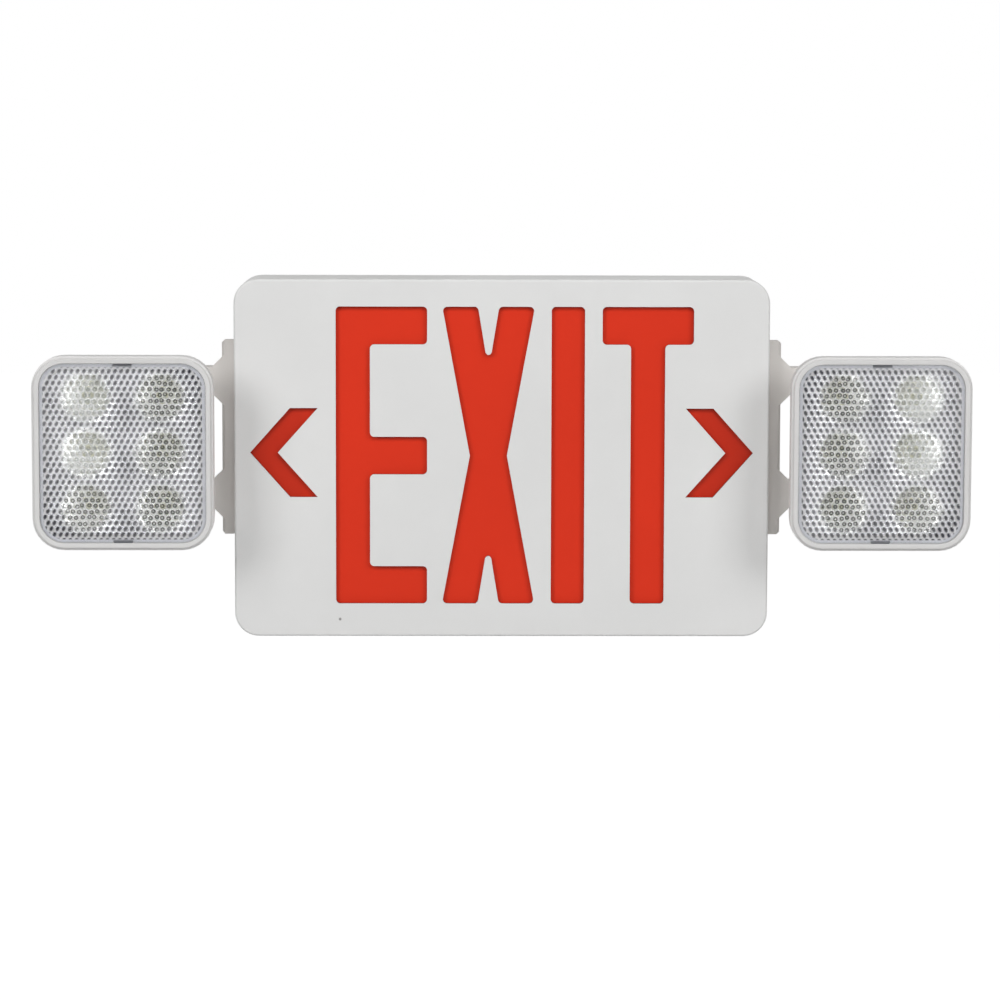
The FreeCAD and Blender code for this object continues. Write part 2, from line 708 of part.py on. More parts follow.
def make_back_plate():
    """Wall plate that plugs into the housing and carries the board and the battery."""
    body = slab("back_plate", "body_width", "body_height", "corner_radius", "0", "back_thickness")
    rim = new_sketch(body, "back_rim_outline", "XZ_Plane", "back_thickness")
    add_rounded(rim, f"{INNER_WIDTH} - 2*fit_gap", f"{INNER_HEIGHT} - 2*fit_gap", f"{INNER_CORNER} - fit_gap")
    inset = "2*(fit_gap + back_rim_wall)"
    add_rounded(rim, f"{INNER_WIDTH} - {inset}", f"{INNER_HEIGHT} - {inset}",
                f"{INNER_CORNER} - {inset}/2")
    pad(body, "back_rim", rim, "back_rim_height")
    standoffs = new_sketch(body, "standoff_outline", "XZ_Plane", "back_thickness")
    for across, up in board_corners():
        add_circle(standoffs, across, up, "standoff_radius")
    for across, up in strap_feet():
        add_circle(standoffs, across, up, "standoff_radius")
    pad(body, "standoffs", standoffs, "standoff_height")
    ends = new_sketch(body, "cradle_outline", "XZ_Plane", "back_thickness")
    low_end = "pack_left - fit_gap - cradle_rib/2"
    high_end = "pack_left + pack_length + fit_gap + cradle_rib/2"
    for across in (low_end, high_end):
        for edge in ("-", ""):
            add_rectangle(ends, "cradle_rib", "cell_radius", across, f"{edge}2*cell_radius")
    pad(body, "cradle", ends, "cradle_height")
    openings = new_sketch(body, "back_hole_outline", "XZ_Plane", "0")
    add_circle(openings, "0", "0", "wire_entry_radius")
    for side in ("-", ""):
        add_circle(openings, f"{side}box_screw_spacing/2", "0", "box_screw_radius")
        for edge in ("-", ""):
            add_circle(openings, f"{side}wall_screw_pitch_across/2", f"{edge}wall_screw_pitch_up/2",
                       "wall_screw_radius")
    pocket(body, "back_holes", openings, "back_thickness")
    pilots = new_sketch(body, "pilot_outline", "XZ_Plane", "back_thickness")
    for across, up in (*board_corners(), *strap_feet()):
        add_circle(pilots, across, up, "screw_radius")
    pocket(body, "pilots", pilots, "standoff_height")
    return body


# ---------------------------------------------------------------- main board

def make_main_board():
    """Circuit board on the back plate's standoffs."""
    body = new_body("main_board")
    outline = new_sketch(body, "main_board_outline", "XZ_Plane", BOARD_BACK)
    add_rounded(outline, "board_length", "board_height", "standoff_inset/4",
                "board_left + board_length/2", "0")
    for across, up in board_corners():
        add_circle(outline, across, up, "screw_radius")
    pad(body, "main_board_sheet", outline, "board_thickness")
    return body


def on_board(name, across, up, size):
    """Stand a box on the main board: its middle, and its length, width and rise."""
    length, width, rise = size
    return block(name, (f"board_left + {across} - {length}/2", f"-({BOARD_FRONT} + {rise})",
                        f"{up} - {width}/2"), (length, rise, width))


PLUG_EDGE = "(plug_width/2 + plug_margin - board_height/2)"
BATTERY_PLUG_ACROSS = "(board_length - 2*standoff_inset - plug_length)"
TEST_PLUG_ACROSS = "(board_length - 3*standoff_inset - 2*plug_length)"
SIGN_PLUG_ACROSS = "(board_length - 3*standoff_inset)"
SIGN_LEAD_ACROSS = f"(board_left + {SIGN_PLUG_ACROSS})"
SIGN_LEAD_LOW = "(board_height/4 - plug_margin)"


def make_transformer():
    """Laminated core with its winding."""
    core = on_board("core", "transformer_across", "transformer_up",
                    ("core_length", "core_height", "core_rise"))
    winding = on_board("winding", "transformer_across", "transformer_up",
                       ("core_length/2", "(core_height + 2*coil_overhang)", "(core_rise - coil_step)"))
    return fused("transformer", [core, winding])


def make_capacitors():
    """Two upright electrolytic capacitors."""
    cans = [cylinder(f"can_{i}", ("board_left + capacitor_across", f"-{BOARD_FRONT}",
                                  f"{i}*capacitor_pitch - capacitor_low"), "y", "capacitor_radius",
                     "capacitor_rise") for i in range(2)]
    return grouped("capacitors", cans)


def make_relay():
    """Change-over relay."""
    relay = on_board("relay", "relay_across", "-relay_low", ("relay_length", "relay_width", "relay_rise"))
    relay.Label = "relay"
    return relay


def make_terminal_block():
    """Supply terminals with two wire holes."""
    up = "(board_height/2 - terminal_length/2 - 2*standoff_inset)"
    across = "(board_length - terminal_width/2 - plug_margin)"
    base = on_board("terminal_base", across, up, ("terminal_width", "terminal_length", "terminal_rise"))
    holes = [cylinder(f"wire_hole_{i}", (f"board_left + {across}", f"-({BOARD_FRONT} + terminal_rise/2)",
                                         f"{up} + {side}terminal_length/4"), "x", "terminal_width/5",
                      "terminal_width") for i, side in enumerate(("-", ""))]
    return cut("supply_terminals", base, fused("wire_holes", holes))


def make_board_plugs():
    """Three lead connectors."""
    plugs = []
    for name, across in (("battery", BATTERY_PLUG_ACROSS), ("test", TEST_PLUG_ACROSS)):
        plugs.append(on_board(f"{name}_plug", across, PLUG_EDGE, ("plug_length", "plug_width", "plug_rise")))
    plugs.append(on_board("sign_plug", SIGN_PLUG_ACROSS, SIGN_LEAD_LOW,
                          ("plug_length", "plug_width", "plug_rise")))
    return grouped("board_plugs", plugs)


def make_board_screws():
    """Screws that hold the main board."""
    screws = [screw(f"board_screw_{i}", (across, f"-{BOARD_FRONT}", up), "y", "screw_radius",
                    "screw_head_radius", "screw_head_rise", "screw_length")
              for i, (across, up) in enumerate(board_corners())]
    return grouped("board_screws", screws)


# ---------------------------------------------------------------- battery

def make_battery_pack():
    """Three cells in a shrink sleeve."""
    cells = [cylinder(f"cell_{i}", ("pack_left", f"-{PACK_MIDDLE}", f"{step}*2*cell_radius"), "x",
                      "cell_radius", "pack_length") for i, step in enumerate((-1, 0, 1))]
    sleeve = block("sleeve", ("pack_left", f"-({PACK_MIDDLE} + sleeve_half)", "-2*cell_radius"),
                   ("pack_length", "2*sleeve_half", "4*cell_radius"))
    return fused("battery_pack", [*cells, sleeve])


def make_battery_strap():
    """Bent metal strap over the cells."""
    body = new_body("battery_strap")
    side = new_sketch(body, "strap_outline", "YZ_Plane", "pack_left + pack_length/2 - strap_width/2")
    foot = "(back_thickness + standoff_height)"
    top = f"({PACK_MIDDLE} + cell_radius + pack_seat)"
    wall = "(3*cell_radius + pack_seat)"
    points = []
    for edge, order in (("-", 1), ("", -1)):
        half = [(f"-{foot}", f"{edge}({wall} + strap_sheet + strap_foot)"),
                (f"-({foot} + strap_sheet)", f"{edge}({wall} + strap_sheet + strap_foot)"),
                (f"-({foot} + strap_sheet)", f"{edge}({wall} + strap_sheet)"),
                (f"-({top} + strap_sheet)", f"{edge}({wall} + strap_sheet)")]
        points += half[::order]
    inner = []
    for edge, order in (("", 1), ("-", -1)):
        half = [(f"-{foot}", f"{edge}{wall}"), (f"-{top}", f"{edge}{wall}")]
        inner += half[::order]
    add_outline(side, points + inner)
    pad(body, "strap_sheet_metal", side, "strap_width")
    holes = new_sketch(body, "strap_hole_outline", "XZ_Plane", foot)
    for across, up in strap_feet():
        add_circle(holes, across, up, "screw_radius")
    pocket(body, "strap_holes", holes, "strap_sheet")
    return body


def make_strap_screws():
    """Screws that hold the battery strap."""
    seat = "-(back_thickness + standoff_height + strap_sheet)"
    screws = [screw(f"strap_screw_{i}", (across, seat, up), "y", "screw_radius", "screw_head_radius",
                    "screw_head_rise", "screw_length") for i, (across, up) in enumerate(strap_feet())]
    return grouped("strap_screws", screws)


# ---------------------------------------------------------------- test button and indicator

def make_test_board():
    """Small board over the button and the indicator."""
    middle = "(button_across + indicator_across)/2"
    low = (f"{middle} - test_board_length/2", "-(button_depth + test_board_width/2)", TEST_BOARD_LOW)
    board = block("test_board", low, ("test_board_length", "test_board_width", "board_thickness"))
    board.Label = "test_board"
    return board


def make_test_switch():
    """Sealed push switch under the test board, open below for the plunger."""
    low = f"{TEST_BOARD_LOW} - switch_rise"
    case = block("switch_case", ("button_across - switch_size/2", "-(button_depth + switch_size/2)", low),
                 ("switch_size", "switch_size", "switch_rise"))
    bore = cylinder("switch_bore", ("button_across", "-button_depth", low), "z",
                    "plunger_radius + button_clearance", "switch_rise - switch_cap")
    return cut("test_switch", case, bore)


def make_test_button():
    """Push button with a flange inside the floor and a plunger into the switch."""
    base = ("button_across", "-button_depth")
    cap = cylinder("button_cap", (*base, "-(body_height/2 + button_proud)"), "z", "button_radius",
                   "button_proud + side_wall + fit_gap")
    flange = cylinder("button_flange", (*base, f"{FLOOR_INSIDE} + fit_gap"), "z", "button_flange",
                      "button_flange_rise")
    start = f"{FLOOR_INSIDE} + fit_gap + button_flange_rise"
    plunger = cylinder("button_plunger", (*base, start), "z", "plunger_radius",
                       "test_board_rise - fit_gap - button_flange_rise - switch_rise + plunger_reach")
    return fused("test_button", [cap, flange, plunger])


def make_indicator():
    """Indicator lamp with its domed tip through the floor."""
    base = ("indicator_across", "-button_depth")
    stem = cylinder("indicator_stem", (*base, "-body_height/2"), "z", "indicator_radius",
                    "side_wall + test_board_rise")
    dome = rod("indicator_dome", "Sphere", (*base, "-body_height/2"), "z", {"Radius": "indicator_radius"})
    collar = cylinder("indicator_collar", (*base, f"{FLOOR_INSIDE} + fit_gap"), "z",
                      "indicator_collar", "indicator_collar_rise")
    return fused("indicator_lamp", [stem, dome, collar])


# ---------------------------------------------------------------- leads

def lead(name, points):
    """Sweep a round lead along straight runs joined by tangent arcs."""
    radius = value("lead_radius")
    corners = [FreeCAD.Vector(*point) for point in points]
    edges = []
    start = corners[0]
    for before, corner, after in zip(corners, corners[1:], corners[2:]):
        inward = corner - before
        outward = after - corner
        turn = inward.getAngle(outward)
        trim = 0.45 * min(inward.Length, outward.Length)
        bend = trim / math.tan(turn / 2)
        enter = corner - inward.normalize() * trim
        leave = corner + outward.normalize() * trim
        towards = (leave - corner) + (enter - corner)
        reach = bend / math.cos(turn / 2) - bend
        middle = corner + towards.normalize() * reach
        edges.append(Part.LineSegment(start, enter).toShape())
        edges.append(Part.Arc(enter, middle, leave).toShape())
        start = leave
    edges.append(Part.LineSegment(start, corners[-1]).toShape())
    path = Part.Wire(edges)
    first = (corners[1] - corners[0]).normalize()
    section = Part.Wire([Part.Circle(corners[0], first, radius).toShape()])
    made = doc.addObject("Part::Feature", name)
    made.Shape = path.makePipeShell([section], True, False)
    made.Label = name
    expected = path.Length * math.pi * radius ** 2
    assert abs(made.Shape.Volume - expected) < 0.01 * expected, f"{name} is not a plain tube"
    return made


def make_leads():
    """Leads from the main board to the battery, the test board and the LED strip."""
    inset, plug = value("standoff_inset"), value("plug_length")
    board_right = value("board_left") + value("board_length")
    board_front = value("back_thickness") + value("standoff_height") + value("board_thickness")
    plug_y = -(board_front + value("plug_rise") / 2)
    plug_z = value("plug_margin") - value("board_height") / 2
    pack_x = value("pack_left")
    pack_y = -(value("back_thickness") + value("pack_seat") + value("cell_radius"))
    pack_z = -value("cell_radius")
    battery_x = board_right - 2 * inset - plug
    turn_x = pack_x - value("lead_exit")
    run_z = plug_z - value("lead_drop")
    battery = lead("battery_lead", [
        (pack_x, pack_y, pack_z), (turn_x, pack_y, pack_z), (turn_x - value("lead_swing"), pack_y, run_z),
        (battery_x, plug_y, run_z), (battery_x, plug_y, plug_z)])
    test_x = board_right - 3 * inset - 2 * plug
    switch_x = (value("button_across") + value("indicator_across") - value("test_board_length")) / 2
    switch_y = -value("button_depth")
    switch_z = (value("side_wall") - value("body_height") / 2 + value("test_board_rise")
                + value("board_thickness") / 2)
    test = lead("test_lead", [
        (switch_x, switch_y, switch_z), (switch_x - value("lead_exit"), switch_y, switch_z),
        (test_x, plug_y, switch_z + value("lead_rise")), (test_x, plug_y, plug_z)])
    sign_x = board_right - 3 * inset
    sign_z = value("board_height") / 4 - value("plug_margin")
    strip_y = -(value("tray_depth") + value("strip_board"))
    strip_z = (value("strip_height") - value("strip_width") / 4
               + (value("legend_margin_bottom") - value("legend_margin_top")) / 2)
    crest = strip_y - value("lead_crest")
    sign = lead("sign_lead", [
        (sign_x, -(board_front + value("plug_rise")), sign_z), (sign_x, crest, sign_z),
        (sign_x, crest, strip_z), (sign_x, strip_y, strip_z)])
    return battery, test, sign


# ---------------------------------------------------------------- yoke and swivel

def make_yoke():
    """Moulded bracket: rocker-backed bar, two gusseted arms with eyes, and a hollow swivel spigot."""
    body = new_body("yoke_right")
    bar = new_sketch(body, "bar_outline", "YZ_Plane", YOKE_INSIDE)
    front = "-(swivel_depth + yoke_half_depth)"
    slope = "-(swivel_depth + yoke_half_depth - yoke_end)"
    back = "-(swivel_depth - yoke_half_depth)"
    high, flat = "yoke_height/2", "yoke_flat/2"
    add_outline(bar, [
        (front, f"yoke_centre - {high}"), (slope, f"yoke_centre - {high}"), (back, f"yoke_centre - {flat}"),
        (back, f"yoke_centre + {flat}"), (slope, f"yoke_centre + {high}"), (front, f"yoke_centre + {high}")])
    pad(body, "bar", bar, "yoke_thickness")
    outside = value("body_width") / 2 + value("swivel_gap") + value("yoke_thickness")
    dress(body, "Chamfer", "bar_bevel", "yoke_bevel", lambda edge: all_at(edge, "x", outside))
    for name, sign in (("lower", "-"), ("upper", "+")):
        centre = f"yoke_centre {sign} arm_spacing/2"
        root = new_sketch(body, f"{name}_gusset_outline", "XZ_Plane", "pivot_depth - pivot_eye")
        inner = f"{YOKE_OUTSIDE} - yoke_thickness/2"
        half = "arm_height/2"
        spread = "(arm_flare + yoke_thickness/2)"
        add_outline(root, [
            (inner, f"{centre} - {half} - {spread}"), (f"{YOKE_OUTSIDE} + arm_flare", f"{centre} - {half}"),
            (f"{YOKE_OUTSIDE} + arm_flare", f"{centre} + {half}"), (inner, f"{centre} + {half} + {spread}")])
        pad(body, f"{name}_gusset", root, "2*pivot_eye")
        arm = new_sketch(body, f"{name}_arm_outline", "XY_Plane", f"{centre} - {half}")
        add_outline(arm, [
            (inner, "-(pivot_depth - pivot_eye)"), (inner, "-(pivot_depth + pivot_eye)"),
            ("head_across", "-(pivot_depth + pivot_eye)"), ("head_across", "-(pivot_depth - pivot_eye)")])
        pad(body, f"{name}_arm", arm, "arm_height")
        eye = new_sketch(body, f"{name}_eye_outline", "XY_Plane", f"{centre} - {half}")
        add_circle(eye, "head_across", "-pivot_depth", "pivot_eye")
        pad(body, f"{name}_eye", eye, "arm_height")
    end = f"({NUT_INSIDE} - swivel_end)"
    spigot = new_sketch(body, "spigot_outline", "YZ_Plane", end)
    add_circle(spigot, "-swivel_depth", "yoke_centre", "swivel_radius")
    pad(body, "spigot", spigot, f"{YOKE_INSIDE} + yoke_thickness/2 - {end}")
    bore = new_sketch(body, "spigot_bore_outline", "YZ_Plane", end)
    add_circle(bore, "-swivel_depth", "yoke_centre", "swivel_bore")
    pocket(body, "spigot_bore", bore, f"{YOKE_OUTSIDE} - {end}")
    pins = new_sketch(body, "pivot_hole_outline", "XY_Plane", f"yoke_centre - {ARM_OUTSIDE}")
    add_circle(pins, "head_across", "-pivot_depth", "pivot_radius + pivot_clearance")
    pocket(body, "pivot_holes", pins, f"2*{ARM_OUTSIDE}")
    return body


def make_swivel_washer():
    """Flat washer between the housing's wall and the swivel nut."""
    centre = ("-swivel_depth", "yoke_centre")
    disc = cylinder("washer_disc", (NUT_OUTSIDE, *centre), "x", "swivel_washer_radius",
                    "swivel_washer_thickness")
    hole = cylinder("washer_hole", (NUT_OUTSIDE, *centre), "x", "swivel_radius + swivel_clearance",
                    "swivel_washer_thickness")
    return cut("swivel_washer_right", disc, hole)


def make_swivel_nut():
    """Hexagonal nut on the inner end of the spigot."""
    centre = ("-swivel_depth", "yoke_centre")
    hexagon = rod("nut_hexagon", "Prism", (NUT_INSIDE, *centre), "x",
                  {"Circumradius": "nut_across_corners/2", "Height": "nut_thickness"})
    hexagon.Polygon = 6
    hole = cylinder("nut_hole", (NUT_INSIDE, *centre), "x", "swivel_radius + swivel_clearance",
                    "nut_thickness")
    return cut("swivel_nut_right", hexagon, hole)


# ---------------------------------------------------------------- lamp head

def head_slab(name, width, height, radius, depth, thickness):
    """Make a body that starts as a rounded plate about the lamp head's middle."""
    body = new_body(name)
    outline = new_sketch(body, f"{name}_outline", "XZ_Plane", depth)
    add_rounded(outline, width, height, radius, "head_across", "head_centre")
    pad(body, f"{name}_plate", outline, thickness)
    return body


def head_pocket(body, name, width, height, radius, depth, length):
    """Cut a rounded recess about the lamp head's middle, towards the front."""
    outline = new_sketch(body, f"{name}_outline", "XZ_Plane", depth)
    add_rounded(outline, width, height, radius, "head_across", "head_centre")
    pocket(body, name, outline, length)


def make_bezel():
    """Rounded frame round the lens, with a ledge behind it and a notch for each lens tab."""
    body = head_slab("bezel_right", "head_width", "head_height", "head_corner", BEZEL_BACK, "bezel_depth")
    front = -value("head_front")
    dress(body, "Fillet", "bezel_round", "bezel_edge", lambda edge: all_at(edge, "y", front))
    head_pocket(body, "lens_seat", "head_width - 2*bezel_width", "head_height - 2*bezel_width",
                "head_corner - bezel_width", LENS_BACK, f"head_front - {LENS_BACK}")
    head_pocket(body, "light_opening", f"{LENS_WIDTH} - 2*lens_ledge", f"{LENS_HEIGHT} - 2*lens_ledge",
                f"{LENS_CORNER} - lens_ledge", LENS_LEDGE_BACK, "lens_ledge_thickness")
    head_pocket(body, "shell_seat", CAVITY_WIDTH, CAVITY_HEIGHT, CAVITY_CORNER, BEZEL_BACK,
                f"{LENS_LEDGE_BACK} - {BEZEL_BACK}")
    notches = new_sketch(body, "tab_notch_outline", "XZ_Plane", LENS_BACK)
    reach = "(lens_tab_reach + lens_gap)"
    for sign in ("+", "-"):
        add_rectangle(notches, "lens_tab_width + 2*lens_gap", f"2*{reach}", "head_across",
                      f"head_centre {sign} (head_height/2 - bezel_width)")
    pocket(body, "tab_notches", notches, f"head_front - {LENS_BACK}")
    return body


def make_lens():
    """Clear window with a snap tab above and below."""
    body = head_slab("lens_right", LENS_WIDTH, LENS_HEIGHT, LENS_CORNER, LENS_BACK, "lens_thickness")
    tabs = new_sketch(body, "lens_tab_outline", "XZ_Plane", LENS_BACK)
    for sign in ("+", "-"):
        add_rectangle(tabs, "lens_tab_width", "2*lens_tab_reach", "head_across",
                      f"head_centre {sign} {LENS_HEIGHT}/2")
    pad(body, "lens_tabs", tabs, "lens_thickness")
    return body


def pattern(body, name, original):
    """Repeat a feature over the two columns and three rows of the reflector."""
    made = body.newObject("PartDesign::LinearPattern", name)
    made.Originals = [original]
    axes = {item.Role: item for item in body.Origin.OriginFeatures}
    made.Direction = (axes["X_Axis"], [""])
    made.setExpression("Length", bound("cup_pitch_across"))
    made.Occurrences = 2
    made.Direction2 = (axes["Z_Axis"], [""])
    made.setExpression("Length2", bound("2*cup_pitch_up"))
    made.Occurrences2 = 3
    body.Tip = made
    return made


def cup_tool(body, kind, name, place, sizes):
    """Add one primitive of the first cup, its axis pointing to the front."""
    tool = body.newObject(f"PartDesign::{kind}", name)
    tool.Placement = FreeCAD.Placement(FreeCAD.Vector(), FreeCAD.Rotation(FreeCAD.Vector(1, 0, 0), 90))
    for axis, text in zip("xyz", place):
        tool.setExpression(f"Placement.Base.{axis}", bound(text))
    for size, text in sizes.items():
        tool.setExpression(size, bound(text))
    return tool


def make_reflector():
    """Bright plate with six tapered cups, each open at its bottom over an LED."""
    body = head_slab("reflector_right", f"{CAVITY_WIDTH} - 2*fit_gap", f"{CAVITY_HEIGHT} - 2*fit_gap",
                     f"{CAVITY_CORNER} - fit_gap", REFLECTOR_BACK, "reflector_plate")
    first = ("head_across - cup_pitch_across/2", f"-{CUP_BACK}", "head_centre - cup_pitch_up")
    outer = cup_tool(body, "AdditiveCone", "cup_outside", first, {
        "Radius1": "cup_opening + cup_wall", "Radius2": "cup_radius + cup_wall", "Height": "cup_depth"})
    pattern(body, "cup_outsides", outer)
    inner = cup_tool(body, "SubtractiveCone", "cup_inside", first, {
        "Radius1": "cup_opening", "Radius2": "cup_radius", "Height": "cup_depth"})
    pattern(body, "cup_insides", inner)
    return body


def cup_centres():
    """Middles of the six cups."""
    for across in ("-", "+"):
        for up in ("- cup_pitch_up", "+ 0", "+ cup_pitch_up"):
            yield f"head_across {across} cup_pitch_across/2", f"head_centre {up}"


def make_lamp_board():
    """LED board across the bottoms of the cups."""
    back = f"{CUP_BACK} - board_thickness - lamp_seat"
    return head_slab("lamp_board_right", "lamp_board_width", "lamp_board_height", "lens_ledge", back,
                     "board_thickness")


def make_lamp_leds():
    """One LED in each cup: a square package with a round lens."""
    seat = f"{CUP_BACK} - lamp_seat"
    lamps = []
    for i, (across, up) in enumerate(cup_centres()):
        base = block(f"lamp_base_{i}", (f"{across} - led_size/2", f"-({seat} + led_rise/2)",
                                        f"{up} - led_size/2"), ("led_size", "led_rise/2", "led_size"))
        dome = cylinder(f"lamp_dome_{i}", (across, f"-({seat})", up), "y", "led_lens", "led_rise")
        lamps.append(fused(f"lamp_led_{i}", [base, dome]))
    return grouped("lamp_leds_right", lamps)


def make_rear_shell():
    """Tapered back of the lamp head, with a rim that plugs into the bezel and a hinge lug behind."""
    body = new_body("rear_shell_right")
    front = new_sketch(body, "shell_front_outline", "XZ_Plane", BEZEL_BACK)
    add_rounded(front, "head_width - 2*fit_gap", "head_height - 2*fit_gap", "head_corner - fit_gap",
                "head_across", "head_centre")
    outside = feature(body, "Pad", "shell_outside", front, SHELL_DEPTH, reverse=True)
    outside.setExpression("TaperAngle", bound("-shell_taper"))
    plug = new_sketch(body, "shell_plug_outline", "XZ_Plane", BEZEL_BACK)
    add_rounded(plug, f"{CAVITY_WIDTH} - 2*fit_gap", f"{CAVITY_HEIGHT} - 2*fit_gap",
                f"{CAVITY_CORNER} - fit_gap", "head_across", "head_centre")
    reach = f"{REFLECTOR_BACK} - fit_gap - {BEZEL_BACK}"
    pad(body, "shell_plug", plug, reach)
    inside = (f"{CAVITY_WIDTH} - 2*fit_gap - 2*shell_wall", f"{CAVITY_HEIGHT} - 2*fit_gap - 2*shell_wall",
              f"{CAVITY_CORNER} - fit_gap - shell_wall")
    head_pocket(body, "plug_room", *inside, BEZEL_BACK, reach)
    room = new_sketch(body, "shell_room_outline", "XZ_Plane", BEZEL_BACK)
    add_rounded(room, *inside, "head_across", "head_centre")
    hollow = feature(body, "Pocket", "shell_room", room, f"{SHELL_DEPTH} - shell_wall")
    hollow.setExpression("TaperAngle", bound(f"-{ROOM_TAPER}"))
    lug = new_sketch(body, "lug_outline", "XY_Plane", f"yoke_centre - {LUG_HALF}")
    root = "-(head_back + shell_wall/2)"
    add_outline(lug, [
        ("head_across - pivot_eye", "-pivot_depth"), ("head_across - pivot_eye", root),
        ("head_across + pivot_eye", root), ("head_across + pivot_eye", "-pivot_depth")])
    pad(body, "hinge_lug", lug, f"2*{LUG_HALF}")
    nose = new_sketch(body, "lug_nose_outline", "XY_Plane", f"yoke_centre - {LUG_HALF}")
    add_circle(nose, "head_across", "-pivot_depth", "pivot_eye")
    pad(body, "lug_nose", nose, f"2*{LUG_HALF}")
    bore = new_sketch(body, "lug_bore_outline", "XY_Plane", f"yoke_centre - {LUG_HALF}")
    add_circle(bore, "head_across", "-pivot_depth", "pivot_radius")
    pocket(body, "lug_bore", bore, f"2*{LUG_HALF}")
    entry = new_sketch(body, "lead_entry_outline", "XZ_Plane", "head_back")
    add_circle(entry, "head_across - lead_entry_inset", "yoke_centre", "swivel_bore")
    pocket(body, "lead_entry", entry, "shell_wall")
    return body


def make_pivot_hardware():
    """Screws through the yoke's eyes into the lug, and the washers between them."""
    screws = []
    washers = []
    for name, sign, forward in (("lower", "-", False), ("upper", "+", True)):
        seat = f"yoke_centre {sign} ({ARM_OUTSIDE} + swivel_gap)"
        length = f"arm_height + pivot_gap + swivel_gap + {LUG_HALF}/2"
        screws.append(screw(f"pivot_screw_{name}", ("head_across", "-pivot_depth", seat), "z",
                            "pivot_radius", "pivot_head_radius", "screw_head_rise", length, forward,
                            cylinder))
        low = LUG_HALF if sign == "+" else f"({LUG_HALF} + washer_thickness)"
        base = ("head_across", "-pivot_depth", f"yoke_centre {sign} {low}")
        disc = cylinder(f"pivot_disc_{name}", base, "z", "washer_radius", "washer_thickness")
        hole = cylinder(f"pivot_disc_hole_{name}", base, "z", "pivot_radius + pivot_clearance",
                        "washer_thickness")
        washers.append(cut(f"pivot_washer_{name}", disc, hole))
    return grouped("pivot_screws_right", screws), grouped("pivot_washers_right", washers)


def mirrored(part):
    """Make the left-hand copy of a right-hand sub-part."""
    made = doc.addObject("Part::Mirroring", part.Label.replace("right", "left"))
    made.Source = part
    made.Normal = FreeCAD.Vector(1, 0, 0)
    made.Label = part.Label.replace("right", "left")
    return made


# ---------------------------------------------------------------- the whole light

def build():
    """Make every sub-part in the order in which the light goes together."""
    for make in (make_back_plate, make_main_board, make_transformer, make_capacitors, make_relay,
                 make_terminal_block, make_board_plugs, make_board_screws, make_battery_pack,
                 make_battery_strap, make_strap_screws, make_housing, make_test_board, make_test_switch,
                 make_test_button, make_indicator, make_light_tray, make_tray_screws, make_sign_leds,
                 make_diffuser, make_faceplate):
        keep(make())
    keep(make_led_strip("upper_led_strip", ""))
    keep(make_led_strip("lower_led_strip", "-"))
    for part in make_leads():
        keep(part)
    right = [make_yoke(), make_swivel_washer(), make_swivel_nut(), make_bezel(), make_lens(),
             make_reflector(), make_lamp_board(), make_lamp_leds(), make_rear_shell(),
             *make_pivot_hardware()]
    for part in right:
        keep(part)
        keep(mirrored(part))


def check():
    """Stop if any object failed or any sub-part is not sound."""
    failed = [item.Label for item in doc.Objects if {"Invalid", "Error"} & set(item.State)]
    unsound = [part.Label for part in PARTS if part.Shape.isNull() or not part.Shape.isValid()]
    if failed or unsound:
        raise RuntimeError(f"failed objects: {failed}; unsound sub-parts: {unsound}")


build()
doc.recompute()
check()
os.makedirs("parts", exist_ok=True)
for part in PARTS:
    part.Shape.exportStep(f"parts/{part.Label}.step")
print(f"{len(PARTS)} sub-parts written")
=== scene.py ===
import json
import logging
import math
from dataclasses import dataclass
from enum import Enum
from functools import cache

import bmesh
import bpy
from mathutils import Matrix, Vector


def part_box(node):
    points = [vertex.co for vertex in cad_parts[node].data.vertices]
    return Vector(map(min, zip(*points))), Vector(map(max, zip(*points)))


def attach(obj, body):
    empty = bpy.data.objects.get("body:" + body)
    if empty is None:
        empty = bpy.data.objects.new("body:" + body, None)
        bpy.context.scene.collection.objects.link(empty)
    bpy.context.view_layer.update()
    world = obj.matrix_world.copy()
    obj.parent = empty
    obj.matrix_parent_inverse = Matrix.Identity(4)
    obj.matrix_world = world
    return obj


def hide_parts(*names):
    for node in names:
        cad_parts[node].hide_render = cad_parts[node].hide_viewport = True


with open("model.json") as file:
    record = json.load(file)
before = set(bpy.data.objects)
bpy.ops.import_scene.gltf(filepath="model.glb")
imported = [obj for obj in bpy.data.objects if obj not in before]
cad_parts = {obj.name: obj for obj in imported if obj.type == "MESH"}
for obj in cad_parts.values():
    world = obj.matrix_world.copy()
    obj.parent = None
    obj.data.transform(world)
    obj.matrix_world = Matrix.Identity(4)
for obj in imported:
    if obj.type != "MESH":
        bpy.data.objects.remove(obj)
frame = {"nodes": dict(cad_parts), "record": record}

Colour = tuple[float, float, float, float]
Point = tuple[float, float]
Place = tuple[float, float, float]
Socket = bpy.types.NodeSocket
Loop = list[bmesh.types.BMVert]

LOG = logging.getLogger("exit_light")
MM = 0.001
TOUCHING = 0.001 * MM
WHITE = (1.0, 1.0, 1.0, 1.0)
GREY = (0.8, 0.8, 0.8, 1.0)


class Side(Enum):
    """The two ends of the sign, by the word that ends their nodes' names."""

    LEFT = "left"
    RIGHT = "right"


